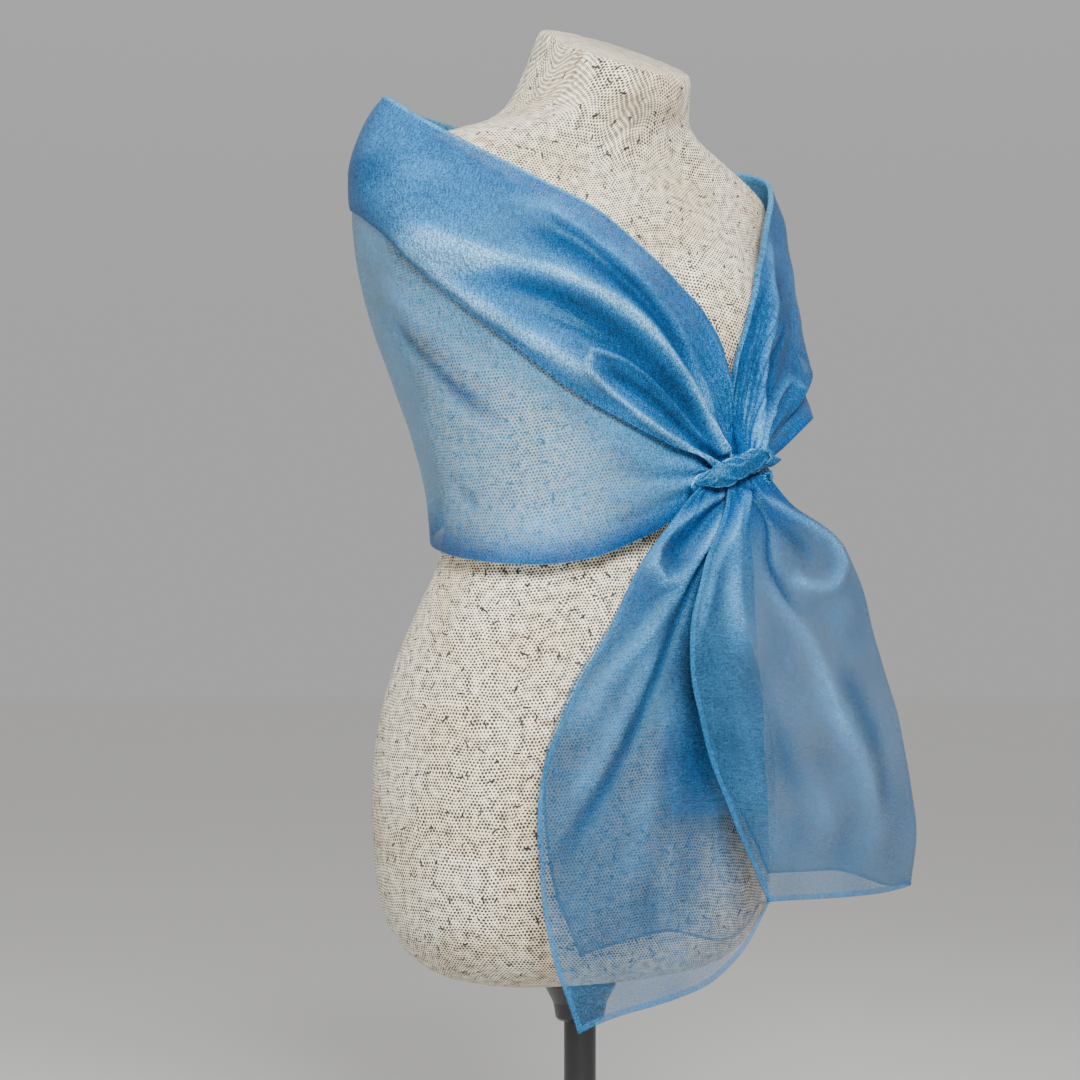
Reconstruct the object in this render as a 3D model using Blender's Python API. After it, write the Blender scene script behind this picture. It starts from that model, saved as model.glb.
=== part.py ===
"""Evening stole, knotted at the front of a limbless dress form on a round stand.

Metres, +Z up. The form faces -Y and its own right arm is at -X. The origin is the centre of the
stand's underside. Angles run round the form from its front (-Y) towards its right arm, in degrees,
and the tables below hold heights above the floor and distances from the form's axis in millimetres.
"""
import math
from collections import namedtuple

import bmesh
import bpy
import numpy as np

MM = 0.001

# Driving dimensions of the stand and the form.
STAND_HEIGHT = 0.300
BASE_DIAMETER = 0.320
BASE_THICKNESS = 0.012
BASE_EDGE = 0.004
POLE_DIAMETER = 0.025
SOCKET_TOP_DIAMETER = 0.056
SOCKET_FOOT_DIAMETER = 0.038
SOCKET_HEIGHT = 0.034
SOCKET_EDGE = 0.002
SOCKET_FLARE_START = 0.4
SOCKET_FLARE_END = 0.8
NECK_FOOT = 0.640
NECK_CAP_HEIGHT = 0.711
NECK_CAP_SLOPE = 0.48
NECK_CAP_EDGE = 0.006
SEAT_GAP = 0.0003

# Driving dimensions of the stole.
WALL = 0.0010
FORM_CLEARANCE = 0.0036
CLOTH_ROUNDING = 0.004
SEAT_HEIGHT = 0.840
SEAT_REACH = 0.050
SEAT_SPREAD = 30.0
SEAT_SINK = 0.0034
KNOT_PLACE = (0.040, -0.134, 0.686)
KNOT_CORE_SIZE = (0.0230, 0.0250, 0.0262)
KNOT_CORE_DROP = 0.0023
CoreRing = namedtuple("CoreRing", "level swell")
CORE_RINGS = (
    CoreRing(-0.50, 0.80),
    CoreRing(-0.25, 0.95),
    CoreRing(0.00, 1.00),
    CoreRing(0.25, 0.92),
    CoreRing(0.50, 0.60),
)
BAND_REACH = (0.037, 0.015, 0.0160)
BAND_FRONT = -0.0196
BAND_DROP = 0.001
BAND_WIDTH = 0.023
BAND_DEPTH = 0.013
BAND_BEND = 1.4
BAND_NARROWING = 0.45
BAND_THINNING = 0.30
END_PLACE = (0.0350, 0.0044, -0.0020)
END_RADIUS = 0.0085
END_THICKNESS = 0.0095
END_TAPER = 0.35
END_CURL = 300.0
END_PITCH = 0.0016
SEAM_HALF_GAP = 0.00027
SEAM_RADIUS = 0.170

FormRing = namedtuple("FormRing", "height half_width front back forward")
FORM_RINGS = (
    FormRing(0, 92, 50, 58, 0),
    FormRing(5, 114, 70, 78, 0),
    FormRing(16, 135, 89, 95, 0),
    FormRing(34, 153, 104, 109, 0),
    FormRing(65, 166, 114, 119, 0),
    FormRing(105, 171, 118, 123, 0),
    FormRing(150, 172, 118, 125, 0),
    FormRing(185, 169, 116, 122, 0),
    FormRing(220, 162, 112, 115, 0),
    FormRing(255, 150, 106, 105, 0),
    FormRing(290, 133, 98, 95, 0),
    FormRing(320, 118, 92, 87, 0),
    FormRing(350, 113, 89, 83, 0),
    FormRing(390, 120, 92, 86, 0),
    FormRing(440, 133, 100, 95, 0),
    FormRing(500, 147, 108, 104, 0),
    FormRing(550, 160, 104, 108, 0),
    FormRing(585, 174, 92, 104, 0),
    FormRing(604, 183, 80, 96, 0),
    FormRing(618, 180, 70, 86, 2),
    FormRing(630, 158, 64, 76, 6),
    FormRing(641, 127, 61, 69, 11),
    FormRing(652, 96, 60, 65, 16),
    FormRing(664, 76, 60, 62, 22),
    FormRing(682, 65, 59, 60, 31),
    FormRing(705, 58, 57, 57, 40),
    FormRing(760, 57, 57, 57, 58),
)
FORM_POWER = 2.2
BUST_HEIGHT = 0.500
BUST_ANGLE = 34.0
BUST_RISE = 0.026
BUST_SPREAD = 24.0
BUST_REACH = 0.055

# The under layer of the wrap: its lower and top edge at each angle, and its distance from the axis
# at the lower edge, a third up, two thirds up and at the top edge. The top edge leans past the lower
# one by the last column, in degrees, where the layers run steeply down into the knot.
WrapRow = namedtuple("WrapRow", "angle low top r_low r_third r_high r_top lean")
WRAP_ROWS = (
    WrapRow(-11.4, 678, 695, 133, 133, 134, 134, 0),
    WrapRow(-9, 674, 736, 129, 132, 135, 137, -3),
    WrapRow(-5, 665, 772, 123, 130, 135, 139, -3.5),
    WrapRow(0, 656, 796, 117, 127, 134, 138, -1.5),
    WrapRow(8, 644, 815, 113, 125, 136, 139, 0),
    WrapRow(20, 633, 838, 113, 127, 140, 141, 0),
    WrapRow(34, 622, 866, 119, 131, 146, 142, 0),
    WrapRow(50, 616, 888, 128, 141, 157, 147, 0),
    WrapRow(66, 617, 911, 134, 151, 171, 157, 0),
    WrapRow(82, 622, 937, 132, 156, 184, 167, 0),
    WrapRow(96, 628, 960, 127, 152, 187, 169, 0),
    WrapRow(110, 634, 966, 121, 147, 181, 150, 0),
    WrapRow(130, 646, 968, 112, 134, 155, 122, 0),
    WrapRow(155, 668, 966, 99, 110, 118, 98, 0),
    WrapRow(180, 690, 962, 95, 100, 104, 90, 0),
    WrapRow(205, 706, 957, 100, 110, 118, 98, 0),
    WrapRow(230, 722, 950, 120, 135, 152, 122, 0),
    WrapRow(250, 734, 948, 146, 160, 172, 146, 0),
    WrapRow(264, 741, 949, 162, 173, 186, 172, 0),
    WrapRow(278, 744, 938, 172, 178, 184, 173, 0),
    WrapRow(292, 741, 915, 179, 174, 169, 158, 0),
    WrapRow(304, 733, 890, 181, 166, 156, 146, 0),
    WrapRow(314, 722, 868, 170, 157, 148, 141, 1),
    WrapRow(323, 711, 840, 156, 148, 143, 139, 5),
    WrapRow(331, 698, 797, 146, 144, 143, 141, 8),
    WrapRow(334.5, 690, 762, 142, 142, 142, 141, 8),
    WrapRow(337, 683, 725, 140, 140, 140, 140, 4),
    WrapRow(338.4, 678, 695, 139, 139, 139, 139, 0),
)

# The turned-over layer: its lower edge at each angle, and how far it stands off the under layer at
# that edge, half way up and at the top fold.
TurnRow = namedtuple("TurnRow", "angle edge lift_edge lift_mid lift_top")
TURN_ROWS = (
    TurnRow(-11.4, 679, 6, 6, 5),
    TurnRow(-4, 693, 7, 9, 5),
    TurnRow(10, 704, 6, 13, 5),
    TurnRow(26, 714, 5, 16, 6),
    TurnRow(46, 737, 5, 15, 6),
    TurnRow(58, 763, 5, 14, 6),
    TurnRow(69, 791, 4, 13, 6),
    TurnRow(79, 818, 4, 12, 6),
    TurnRow(88, 846, 4, 11, 6),
    TurnRow(97, 867, 4, 10, 6),
    TurnRow(108, 884, 4, 8, 5),
    TurnRow(140, 888, 4, 6, 5),
    TurnRow(180, 882, 4, 6, 5),
    TurnRow(220, 884, 4, 6, 5),
    TurnRow(250, 868, 4, 8, 5),
    TurnRow(264, 846, 4, 9, 5),
    TurnRow(278, 818, 5, 10, 5),
    TurnRow(292, 794, 6, 10, 5),
    TurnRow(304, 772, 7, 10, 5),
    TurnRow(314, 748, 8, 9, 5),
    TurnRow(323, 724, 7, 8, 5),
    TurnRow(331, 703, 6, 7, 5),
    TurnRow(338.4, 679, 6, 6, 5),
)

# Soft ridges of the turned-over layer that run into the knot: where each lies across the layer at
# the knot and at its far end (0 at the lower edge, 1 at the top fold), the angle where it fades out,
# and its width across, height and the angle where it is highest.
Ridge = namedtuple("Ridge", "near far fades width height peak")
RIGHT_RIDGES = (
    Ridge(0.12, 0.10, 32, 0.050, 5.0, 6),
    Ridge(0.30, 0.27, 26, 0.045, 5.5, 8),
    Ridge(0.46, 0.50, 34, 0.050, 6.0, 9),
    Ridge(0.64, 0.66, 80, 0.080, 6.0, 24),
    Ridge(0.86, 0.88, 70, 0.070, 6.0, 20),
)
LEFT_RIDGES = (
    Ridge(0.20, 0.12, 306, 0.070, 5.0, 326),
    Ridge(0.50, 0.55, 296, 0.090, 6.0, 320),
    Ridge(0.82, 0.88, 290, 0.070, 4.0, 316),
)

# The tails: the left and right edge of the front layer from the knot down, as the distance to the
# side of the knot and below it, and how far in front of the form's axis each edge hangs.
TailRow = namedtuple("TailRow", "left left_drop left_y right right_drop right_y bow")
LONG_TAIL_ROWS = (
    TailRow(-12, 16, 137, 4, 16, 137, 0),
    TailRow(-44, 32, 131, 7, 30, 138, 2),
    TailRow(-84, 68, 128, 10, 62, 140, 4),
    TailRow(-115, 118, 123, 13, 106, 141, 6),
    TailRow(-150, 174, 116, 16, 150, 142, 7),
    TailRow(-172, 230, 113, 19, 192, 143, 8),
    TailRow(-173, 290, 114, 21, 236, 144, 8),
    TailRow(-164, 350, 117, 22, 280, 145, 8),
    TailRow(-142, 408, 120, 22, 324, 146, 8),
)
SHORT_TAIL_ROWS = (
    TailRow(-8, 16, 146, 12, 16, 146, 0),
    TailRow(-26, 34, 150, 46, 24, 149, 3),
    TailRow(-48, 66, 154, 86, 46, 152, 6),
    TailRow(-66, 110, 157, 114, 82, 154, 9),
    TailRow(-68, 150, 159, 128, 124, 155, 11),
    TailRow(-58, 196, 161, 147, 172, 156, 12),
    TailRow(-39, 242, 163, 162, 222, 157, 12),
    TailRow(-17, 284, 165, 171, 272, 158, 11),
    TailRow(2, 319, 166, 165, 317, 158, 10),
)

# Folds of the tails: place across at the knot and at the hem, width across, depth at the knot end
# and at the hem.
TailFold = namedtuple("TailFold", "near far width deep_near deep_far")
LONG_TAIL_FOLDS = (
    TailFold(0.10, 0.10, 0.060, 4, 3),
    TailFold(0.30, 0.26, 0.070, 6, 5),
    TailFold(0.52, 0.44, 0.070, 6, 4),
    TailFold(0.74, 0.66, 0.070, 6, 4),
    TailFold(0.92, 0.88, 0.050, 4, 3),
)
SHORT_TAIL_FOLDS = (
    TailFold(0.12, 0.10, 0.060, 5, 3),
    TailFold(0.36, 0.40, 0.080, 7, 5),
    TailFold(0.62, 0.62, 0.060, 7, 3),
    TailFold(0.84, 0.86, 0.070, 8, 3),
)
LAYER_GAP_AT_KNOT = 0.0035
LAYER_GAP_AT_HEM = 0.0090
LONG_TAIL_HEM_SAG = 0.024
SHORT_TAIL_HEM_SAG = 0.002
LONG_TAIL_BACK_SHORTER = 0.050
SHORT_TAIL_BACK_SHORTER = 0.020
BACK_LAYER_INSET = 0.10
BACK_LAYER_TURN = 0.60
HEM_SAG_PLACE = 2 / 3

# Mesh density.
FORM_SIDES = 40
FORM_FOOT_HEIGHTS = (0.0, 0.005, 0.016, 0.034)
FORM_STEP = 0.024
FORM_STEPS = 22
FORM_SHOULDER_HEIGHTS = (0.580, 0.594, 0.604, 0.612, 0.619, 0.626, 0.633, 0.640, 0.648, 0.656, 0.666, 0.680)
ROUND_SIDES = 40
SHARP_ANGLE = 60.0
UNDER_POINTS = 11
FOLD_POINTS = 2
TURNED_POINTS = 18
TAIL_POINTS = 15
TAIL_BACK_POINTS = 11
KNOT_SIDES = 12
BAND_RINGS = 13
RIGHT_SECTIONS = 24
BACK_SECTIONS = 17
LEFT_SECTIONS = 20
CLOSER_AT_KNOT = 1.5

# The angles where the stretches of the wrap start and end.
RIGHT_END = -11.4
RIGHT_SEAM = 100.0
LEFT_SEAM = 256.0
LEFT_END = 338.4


def smooth_curve(keys, values, at):
    """Values on a smooth curve through the given keys and values."""
    keys = np.array(keys, float)
    values = np.array(values, float)
    slopes = np.gradient(values, keys)
    at = np.clip(at, keys[0], keys[-1])
    row = np.clip(np.searchsorted(keys, at, side="right") - 1, 0, len(keys) - 2)
    span = keys[row + 1] - keys[row]
    share = (at - keys[row]) / span
    start = (1 + 2 * share) * (1 - share) ** 2 * values[row]
    start_slope = share * (1 - share) ** 2 * span * slopes[row]
    end = share ** 2 * (3 - 2 * share) * values[row + 1]
    end_slope = share ** 2 * (share - 1) * span * slopes[row + 1]
    return start + start_slope + end + end_slope


def smooth_column(rows, key, column, at):
    """Values of a table's column, on a smooth curve through its rows."""
    return smooth_curve([getattr(row, key) for row in rows], [getattr(row, column) for row in rows], at)


def ease(share):
    """A smooth step from 0 to 1."""
    share = np.clip(share, 0.0, 1.0)
    return share * share * (3 - 2 * share)


def form_radius(angle, height):
    """Distance from the form's axis to its surface; angle in degrees, height above its underside."""
    level = np.clip(height / MM, FORM_RINGS[0].height, FORM_RINGS[-1].height)
    half_width = smooth_column(FORM_RINGS, "height", "half_width", level) * MM
    front = smooth_column(FORM_RINGS, "height", "front", level) * MM
    back = smooth_column(FORM_RINGS, "height", "back", level) * MM
    turn = np.radians(angle)
    depth = np.where(np.cos(turn) > 0, front, back)
    side = np.abs(np.sin(turn)) / half_width
    face = np.abs(np.cos(turn)) / depth
    radius = (side ** FORM_POWER + face ** FORM_POWER) ** (-1 / FORM_POWER)
    off_front = np.abs((angle + 180.0) % 360.0 - 180.0)
    across = (off_front - BUST_ANGLE) / BUST_SPREAD
    rise = (height - BUST_HEIGHT) / BUST_REACH
    return radius + BUST_RISE * np.exp(-across ** 2 - rise ** 2)


def around(angle, radius, height):
    """Points at angles round the form, at distances from its axis and heights above the floor."""
    turn = np.radians(angle)
    return np.stack([-radius * np.sin(turn), -radius * np.cos(turn), height + 0 * turn], axis=-1)


def on_the_form(angle, radius, height):
    """The radius, kept just outside the form with a soft change where the cloth starts to lie on it."""
    seat = np.exp(-((angle - 180.0) / SEAT_SPREAD) ** 2 - ((height - SEAT_HEIGHT) / SEAT_REACH) ** 2)
    least = form_radius(angle, height - STAND_HEIGHT) + FORM_CLEARANCE - SEAT_SINK * seat
    return 0.5 * (radius + least + np.sqrt((radius - least) ** 2 + CLOTH_ROUNDING ** 2))


def under_layer(angle, share):
    """Angle, radius and height on the under layer, from its lower edge (0) to its top fold (1)."""
    low = smooth_column(WRAP_ROWS, "angle", "low", angle) * MM
    top = smooth_column(WRAP_ROWS, "angle", "top", angle) * MM
    columns = ("r_low", "r_third", "r_high", "r_top")
    radii = [smooth_column(WRAP_ROWS, "angle", name, angle) * MM for name in columns]
    knots = (0.0, 1 / 3, 2 / 3, 1.0)
    radius = 0.0
    for own, value in enumerate(radii):
        weight = 1.0
        for other, knot in enumerate(knots):
            if other != own:
                weight = weight * (share - knot) / (knots[own] - knot)
        radius = radius + weight * value
    height = low + (top - low) * share
    leaning = angle + smooth_column(WRAP_ROWS, "angle", "lean", angle) * share ** 2
    return leaning, on_the_form(leaning, radius, height), height


def ridge_lift(angle, share, ridges, knot_angle):
    """Height of the soft ridges that run across the turned-over layer into the knot."""
    lift = 0.0
    for ridge in ridges:
        along = (angle - knot_angle) / (ridge.fades - knot_angle)
        middle = ridge.near + (ridge.far - ridge.near) * np.clip(along, 0, 1)
        profile = np.exp(-((share - middle) / ridge.width) ** 2)
        highest = (ridge.peak - knot_angle) / (ridge.fades - knot_angle)
        rising = ease(along / highest)
        falling = 1 - ease((along - highest) / (1 - highest))
        lift = lift + ridge.height * MM * profile * rising * falling
    return lift


def turned_layer(angle, share):
    """Angle, radius and height on the turned-over layer, from its lower edge (0) to the top fold (1)."""
    low = smooth_column(WRAP_ROWS, "angle", "low", angle) * MM
    top = smooth_column(WRAP_ROWS, "angle", "top", angle) * MM
    edge = smooth_column(TURN_ROWS, "angle", "edge", angle) * MM
    height = edge + (top - edge) * share
    leaning, below, _ = under_layer(angle, np.clip((height - low) / (top - low), 0, 1))
    at_edge = smooth_column(TURN_ROWS, "angle", "lift_edge", angle) * MM
    at_mid = smooth_column(TURN_ROWS, "angle", "lift_mid", angle) * MM
    at_top = smooth_column(TURN_ROWS, "angle", "lift_top", angle) * MM
    lift = at_edge * (1 - share) + at_top * share
    lift = lift + (at_mid - (at_edge + at_top) / 2) * 4 * share * (1 - share)
    lift = lift + ridge_lift(angle, share, RIGHT_RIDGES, RIGHT_END)
    lift = lift + ridge_lift(angle, share, LEFT_RIDGES, LEFT_END)
    return leaning, below + lift, height


def wrap_section(angle):
    """One section of the wrap: up the under layer, over the top fold and down the turned-over layer."""
    shares = np.linspace(0, 1, UNDER_POINTS)
    under = around(*under_layer(np.full(UNDER_POINTS, angle), shares))
    shares = np.linspace(1, 0, TURNED_POINTS)
    turned = around(*turned_layer(np.full(TURNED_POINTS, angle), shares))
    middle = (under[-1] + turned[0]) / 2
    half = (turned[0] - under[-1]) / 2
    reach = np.array([0.0, 0.0, np.linalg.norm(half)])
    bends = np.linspace(math.pi, 0, FOLD_POINTS + 2)[1:-1]
    fold = [middle + half * math.cos(bend) + reach * math.sin(bend) for bend in bends]
    return np.concatenate([under, fold, turned])


def wrap_grid(start, end, columns):
    """Sections of the wrap between two angles, at the given shares of the way."""
    return np.array([wrap_section(angle) for angle in start + (end - start) * columns])


def tail_layer(rows, folds, across, along, hem_sag, shorter, sink):
    """Points of one layer of a tail, at shares across it and along it."""
    steps = np.linspace(0, 1, len(rows))
    values = {name: smooth_curve(steps, [getattr(row, name) for row in rows], along) * MM
              for name in TailRow._fields}
    knot_x, _, knot_z = KNOT_PLACE
    x = knot_x + values["left"] + (values["right"] - values["left"]) * across
    drop = values["left_drop"] + (values["right_drop"] - values["left_drop"]) * across
    sag = across ** 2 * (1 - across) / (HEM_SAG_PLACE ** 2 * (1 - HEM_SAG_PLACE))
    drop = drop + (hem_sag * sag - shorter) * along ** 2
    forward = values["left_y"] + (values["right_y"] - values["left_y"]) * across
    forward = forward + values["bow"] * 4 * across * (1 - across)
    for fold in folds:
        middle = fold.near + (fold.far - fold.near) * along
        deep = fold.deep_near + (fold.deep_far - fold.deep_near) * along
        grown = ease(along * len(rows) / 2)
        forward = forward + deep * MM * grown * np.exp(-((across - middle) / fold.width) ** 2)
    return np.stack([x, -(forward - sink), knot_z - drop], axis=-1)


def tail_grid(rows, folds, hem_sag, shorter):
    """A folded tail: the front layer from its free left edge, round the right fold, and the back layer."""
    grid = []
    for along in np.linspace(0, 1, 2 * len(rows) - 1):
        gap = LAYER_GAP_AT_KNOT + (LAYER_GAP_AT_HEM - LAYER_GAP_AT_KNOT) * along
        across = np.linspace(0, 1, TAIL_POINTS)
        front = tail_layer(rows, folds, across, np.full(TAIL_POINTS, along), hem_sag, 0.0, 0.0)
        inner = np.linspace(1, BACK_LAYER_INSET, TAIL_BACK_POINTS)
        level = np.full(TAIL_BACK_POINTS, along)
        turn = ease((1 - inner) / BACK_LAYER_TURN)
        back = tail_layer(rows, folds, inner, level, hem_sag, shorter * turn, gap)
        middle = (front[-1] + back[0]) / 2
        reach = np.array([gap / 2, 0.0, 0.0])
        grid.append(np.concatenate([front, [middle + reach], back]))
    return np.array(grid)


def wall_from_grid(grid, thickness):
    """Vertices and faces of a closed wall whose middle surface is the grid."""
    along = np.gradient(grid, axis=0)
    across = np.gradient(grid, axis=1)
    normal = np.cross(along, across)
    normal /= np.maximum(np.linalg.norm(normal, axis=2, keepdims=True), 1e-12)
    rows, columns = grid.shape[:2]
    half = thickness / 2
    points = np.concatenate([(grid + normal * half).reshape(-1, 3), (grid - normal * half).reshape(-1, 3)])
    other = rows * columns

    def index(row, column):
        return row * columns + column

    faces = []
    for row in range(rows - 1):
        for column in range(columns - 1):
            quad = [index(row, column), index(row + 1, column),
                    index(row + 1, column + 1), index(row, column + 1)]
            faces.append(quad)
            faces.append([other + corner for corner in reversed(quad)])
    rim = [index(0, column) for column in range(columns)]
    rim += [index(row, columns - 1) for row in range(1, rows)]
    rim += [index(rows - 1, column) for column in range(columns - 2, -1, -1)]
    rim += [index(row, 0) for row in range(rows - 2, 0, -1)]
    for here, following in zip(rim, rim[1:] + rim[:1]):
        faces.append([here, following, other + following, other + here])
    return points, faces


def tube_from_rings(rings):
    """Vertices and faces of a closed body through rings of equal length, with a cap at each end."""
    count = len(rings[0])
    points = np.concatenate(rings)
    faces = []
    for ring in range(len(rings) - 1):
        for side in range(count):
            following = (side + 1) % count
            faces.append([ring * count + side, ring * count + following,
                          (ring + 1) * count + following, (ring + 1) * count + side])
    faces.append(list(reversed(range(count))))
    faces.append([(len(rings) - 1) * count + side for side in range(count)])
    return points, faces


def add_material(name, colour, roughness, metallic=0.0):
    """A plain Principled material in the piece's own colour."""
    material = bpy.data.materials.new(name)
    material.use_nodes = True
    shader = material.node_tree.nodes["Principled BSDF"]
    shader.inputs["Base Color"].default_value = (*colour, 1.0)
    shader.inputs["Roughness"].default_value = roughness
    shader.inputs["Metallic"].default_value = metallic
    return material


def add_object(name, points, faces, material, location=(0, 0, 0)):
    """A smooth-shaded mesh object whose faces point out."""
    mesh = bpy.data.meshes.new(name)
    mesh.from_pydata([tuple(point) for point in points], [], faces)
    shape = bmesh.new()
    shape.from_mesh(mesh)
    bmesh.ops.triangulate(shape, faces=shape.faces)
    bmesh.ops.recalc_face_normals(shape, faces=shape.faces)
    shape.to_mesh(mesh)
    shape.free()
    mesh.materials.append(material)
    mesh.shade_smooth()
    mesh.set_sharp_from_angle(angle=math.radians(SHARP_ANGLE))
    item = bpy.data.objects.new(name, mesh)
    item.location = location
    bpy.context.collection.objects.link(item)
    return item


def turned_piece(name, profile, material, location):
    """A round solid from a profile of radius and height, bottom to top."""
    turn = np.linspace(0, 2 * math.pi, ROUND_SIDES, endpoint=False)
    rings = [np.stack([radius * np.cos(turn), radius * np.sin(turn), height + 0 * turn], axis=-1)
             for radius, height in profile]
    return add_object(name, *tube_from_rings(rings), material, location)


def build_stand(material):
    """Round base, pole and the socket that the form sits on."""
    base = BASE_DIAMETER / 2
    turned_piece("stand_base", [(base - BASE_EDGE, 0), (base, BASE_EDGE),
                                (base, BASE_THICKNESS - BASE_EDGE), (base - BASE_EDGE, BASE_THICKNESS)],
                 material, (0, 0, 0))
    pole = POLE_DIAMETER / 2
    pole_foot = BASE_THICKNESS + SEAT_GAP
    pole_top = STAND_HEIGHT - SOCKET_HEIGHT - 2 * SEAT_GAP
    turned_piece("stand_pole", [(pole, 0), (pole, pole_top - pole_foot)], material, (0, 0, pole_foot))
    foot = SOCKET_FOOT_DIAMETER / 2
    top = SOCKET_TOP_DIAMETER / 2
    turned_piece("stand_socket", [(foot - SOCKET_EDGE, 0), (foot, SOCKET_EDGE),
                                  (foot + SOCKET_EDGE, SOCKET_HEIGHT * SOCKET_FLARE_START),
                                  (top, SOCKET_HEIGHT * SOCKET_FLARE_END), (top, SOCKET_HEIGHT)],
                 material, (0, 0, STAND_HEIGHT - SOCKET_HEIGHT - SEAT_GAP))


def build_form(material):
    """Limbless torso with its neck, closed by a flat underside and a sloping neck cap."""
    angles = np.linspace(0, 360, FORM_SIDES, endpoint=False)
    middle = [FORM_FOOT_HEIGHTS[-1] + FORM_STEP * step for step in range(1, FORM_STEPS + 1)]
    cap = (NECK_CAP_HEIGHT - NECK_CAP_EDGE, NECK_CAP_HEIGHT)
    heights = [*FORM_FOOT_HEIGHTS, *middle, *FORM_SHOULDER_HEIGHTS, *cap]
    rings = []
    for height in heights:
        level = np.full(FORM_SIDES, height)
        radius = form_radius(angles, level)
        if height == NECK_CAP_HEIGHT:
            radius = radius - NECK_CAP_EDGE / 2
        ring = around(angles, radius, level)
        slope = NECK_CAP_SLOPE * ease((height - NECK_FOOT) / (NECK_CAP_HEIGHT - NECK_FOOT))
        ring[:, 2] += slope * ring[:, 1]
        ring[:, 1] -= smooth_column(FORM_RINGS, "height", "forward", height / MM) * MM
        rings.append(ring)
    add_object("form_body", *tube_from_rings(rings), material, (0, 0, STAND_HEIGHT))


def build_wrap(material):
    """The three stretches of the wrap, cut apart at the arms."""
    seam = math.degrees(SEAM_HALF_GAP / SEAM_RADIUS)
    from_knot = np.linspace(0, 1, RIGHT_SECTIONS) ** CLOSER_AT_KNOT
    right = wrap_grid(RIGHT_END, RIGHT_SEAM - seam, from_knot)
    add_object("stole_right_front", *wall_from_grid(right, WALL), material)
    back = wrap_grid(RIGHT_SEAM + seam, LEFT_SEAM - seam, np.linspace(0, 1, BACK_SECTIONS))
    add_object("stole_back", *wall_from_grid(back, WALL), material)
    to_knot = 1 - np.linspace(1, 0, LEFT_SECTIONS) ** CLOSER_AT_KNOT
    left = wrap_grid(LEFT_SEAM + seam, LEFT_END, to_knot)
    add_object("stole_left_front", *wall_from_grid(left, WALL), material)


def build_tails(material):
    """The long tail at the form's right and the short tail in front of it at its left."""
    long_tail = tail_grid(LONG_TAIL_ROWS, LONG_TAIL_FOLDS, LONG_TAIL_HEM_SAG, LONG_TAIL_BACK_SHORTER)
    add_object("stole_long_tail", *wall_from_grid(long_tail, WALL), material)
    short_tail = tail_grid(SHORT_TAIL_ROWS, SHORT_TAIL_FOLDS, SHORT_TAIL_HEM_SAG, SHORT_TAIL_BACK_SHORTER)
    add_object("stole_short_tail", *wall_from_grid(short_tail, WALL), material)


def strand(route, widths, depths, lean):
    """Rings of a flattened strand of cloth along a route, wider than it is deep."""
    route = np.array(route)
    along = np.gradient(route, axis=0)
    along /= np.linalg.norm(along, axis=1, keepdims=True)
    turn = np.linspace(0, 2 * math.pi, KNOT_SIDES, endpoint=False)
    rings = []
    for place, heading, width, depth in zip(route, along, widths, depths):
        out = np.array(lean) - heading * np.dot(lean, heading)
        out /= np.linalg.norm(out)
        side = np.cross(heading, out)
        across = np.outer(np.cos(turn), side * width / 2)
        through = np.outer(np.sin(turn), out * depth / 2)
        rings.append(place + across + through)
    return rings


def build_knot(material):
    """The core that the tails pass through, the band over it and the short coiled end beside it."""
    width, depth, height = KNOT_CORE_SIZE
    turn = np.linspace(0, 2 * math.pi, KNOT_SIDES, endpoint=False)
    core = []
    for ring in CORE_RINGS:
        core.append(np.stack([width / 2 * ring.swell * np.cos(turn), depth / 2 * ring.swell * np.sin(turn),
                              ring.level * height - KNOT_CORE_DROP + 0 * turn], axis=-1))
    add_object("knot_core", *tube_from_rings(core), material, KNOT_PLACE)
    bends = np.linspace(-1, 1, BAND_RINGS)
    half_width, dip, half_rise = BAND_REACH
    band = [(half_width * bend, BAND_FRONT + dip * bend ** 2, half_rise * bend - BAND_DROP)
            for bend in bends]
    pinch = 1 - np.cos(bends * BAND_BEND)
    widths = BAND_WIDTH * (1 - BAND_NARROWING * pinch)
    depths = BAND_DEPTH * (1 - BAND_THINNING * pinch)
    facing = (0, -1, 0)
    add_object("knot_band", *tube_from_rings(strand(band, widths, depths, facing)), material, KNOT_PLACE)
    turns = np.linspace(0, math.radians(END_CURL), BAND_RINGS)
    curl = [(END_PLACE[0] - END_RADIUS * math.cos(turn), END_PLACE[1] + END_PITCH * turn,
             END_PLACE[2] + END_RADIUS * math.sin(turn)) for turn in turns]
    thickness = END_THICKNESS * (1 - END_TAPER * np.linspace(0, 1, BAND_RINGS))
    add_object("knot_end", *tube_from_rings(strand(curl, thickness, thickness, facing)), material, KNOT_PLACE)


def main():
    for item in list(bpy.data.objects):
        bpy.data.objects.remove(item, do_unlink=True)
    black = add_material("stand_black_paint", (0.02, 0.02, 0.02), 0.45)
    cover = add_material("form_cover_cloth", (0.72, 0.68, 0.58), 0.85)
    organza = add_material("stole_blue_organza", (0.20, 0.42, 0.68), 0.40)
    build_stand(black)
    build_form(cover)
    build_wrap(organza)
    build_tails(organza)
    build_knot(organza)


main()
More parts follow.
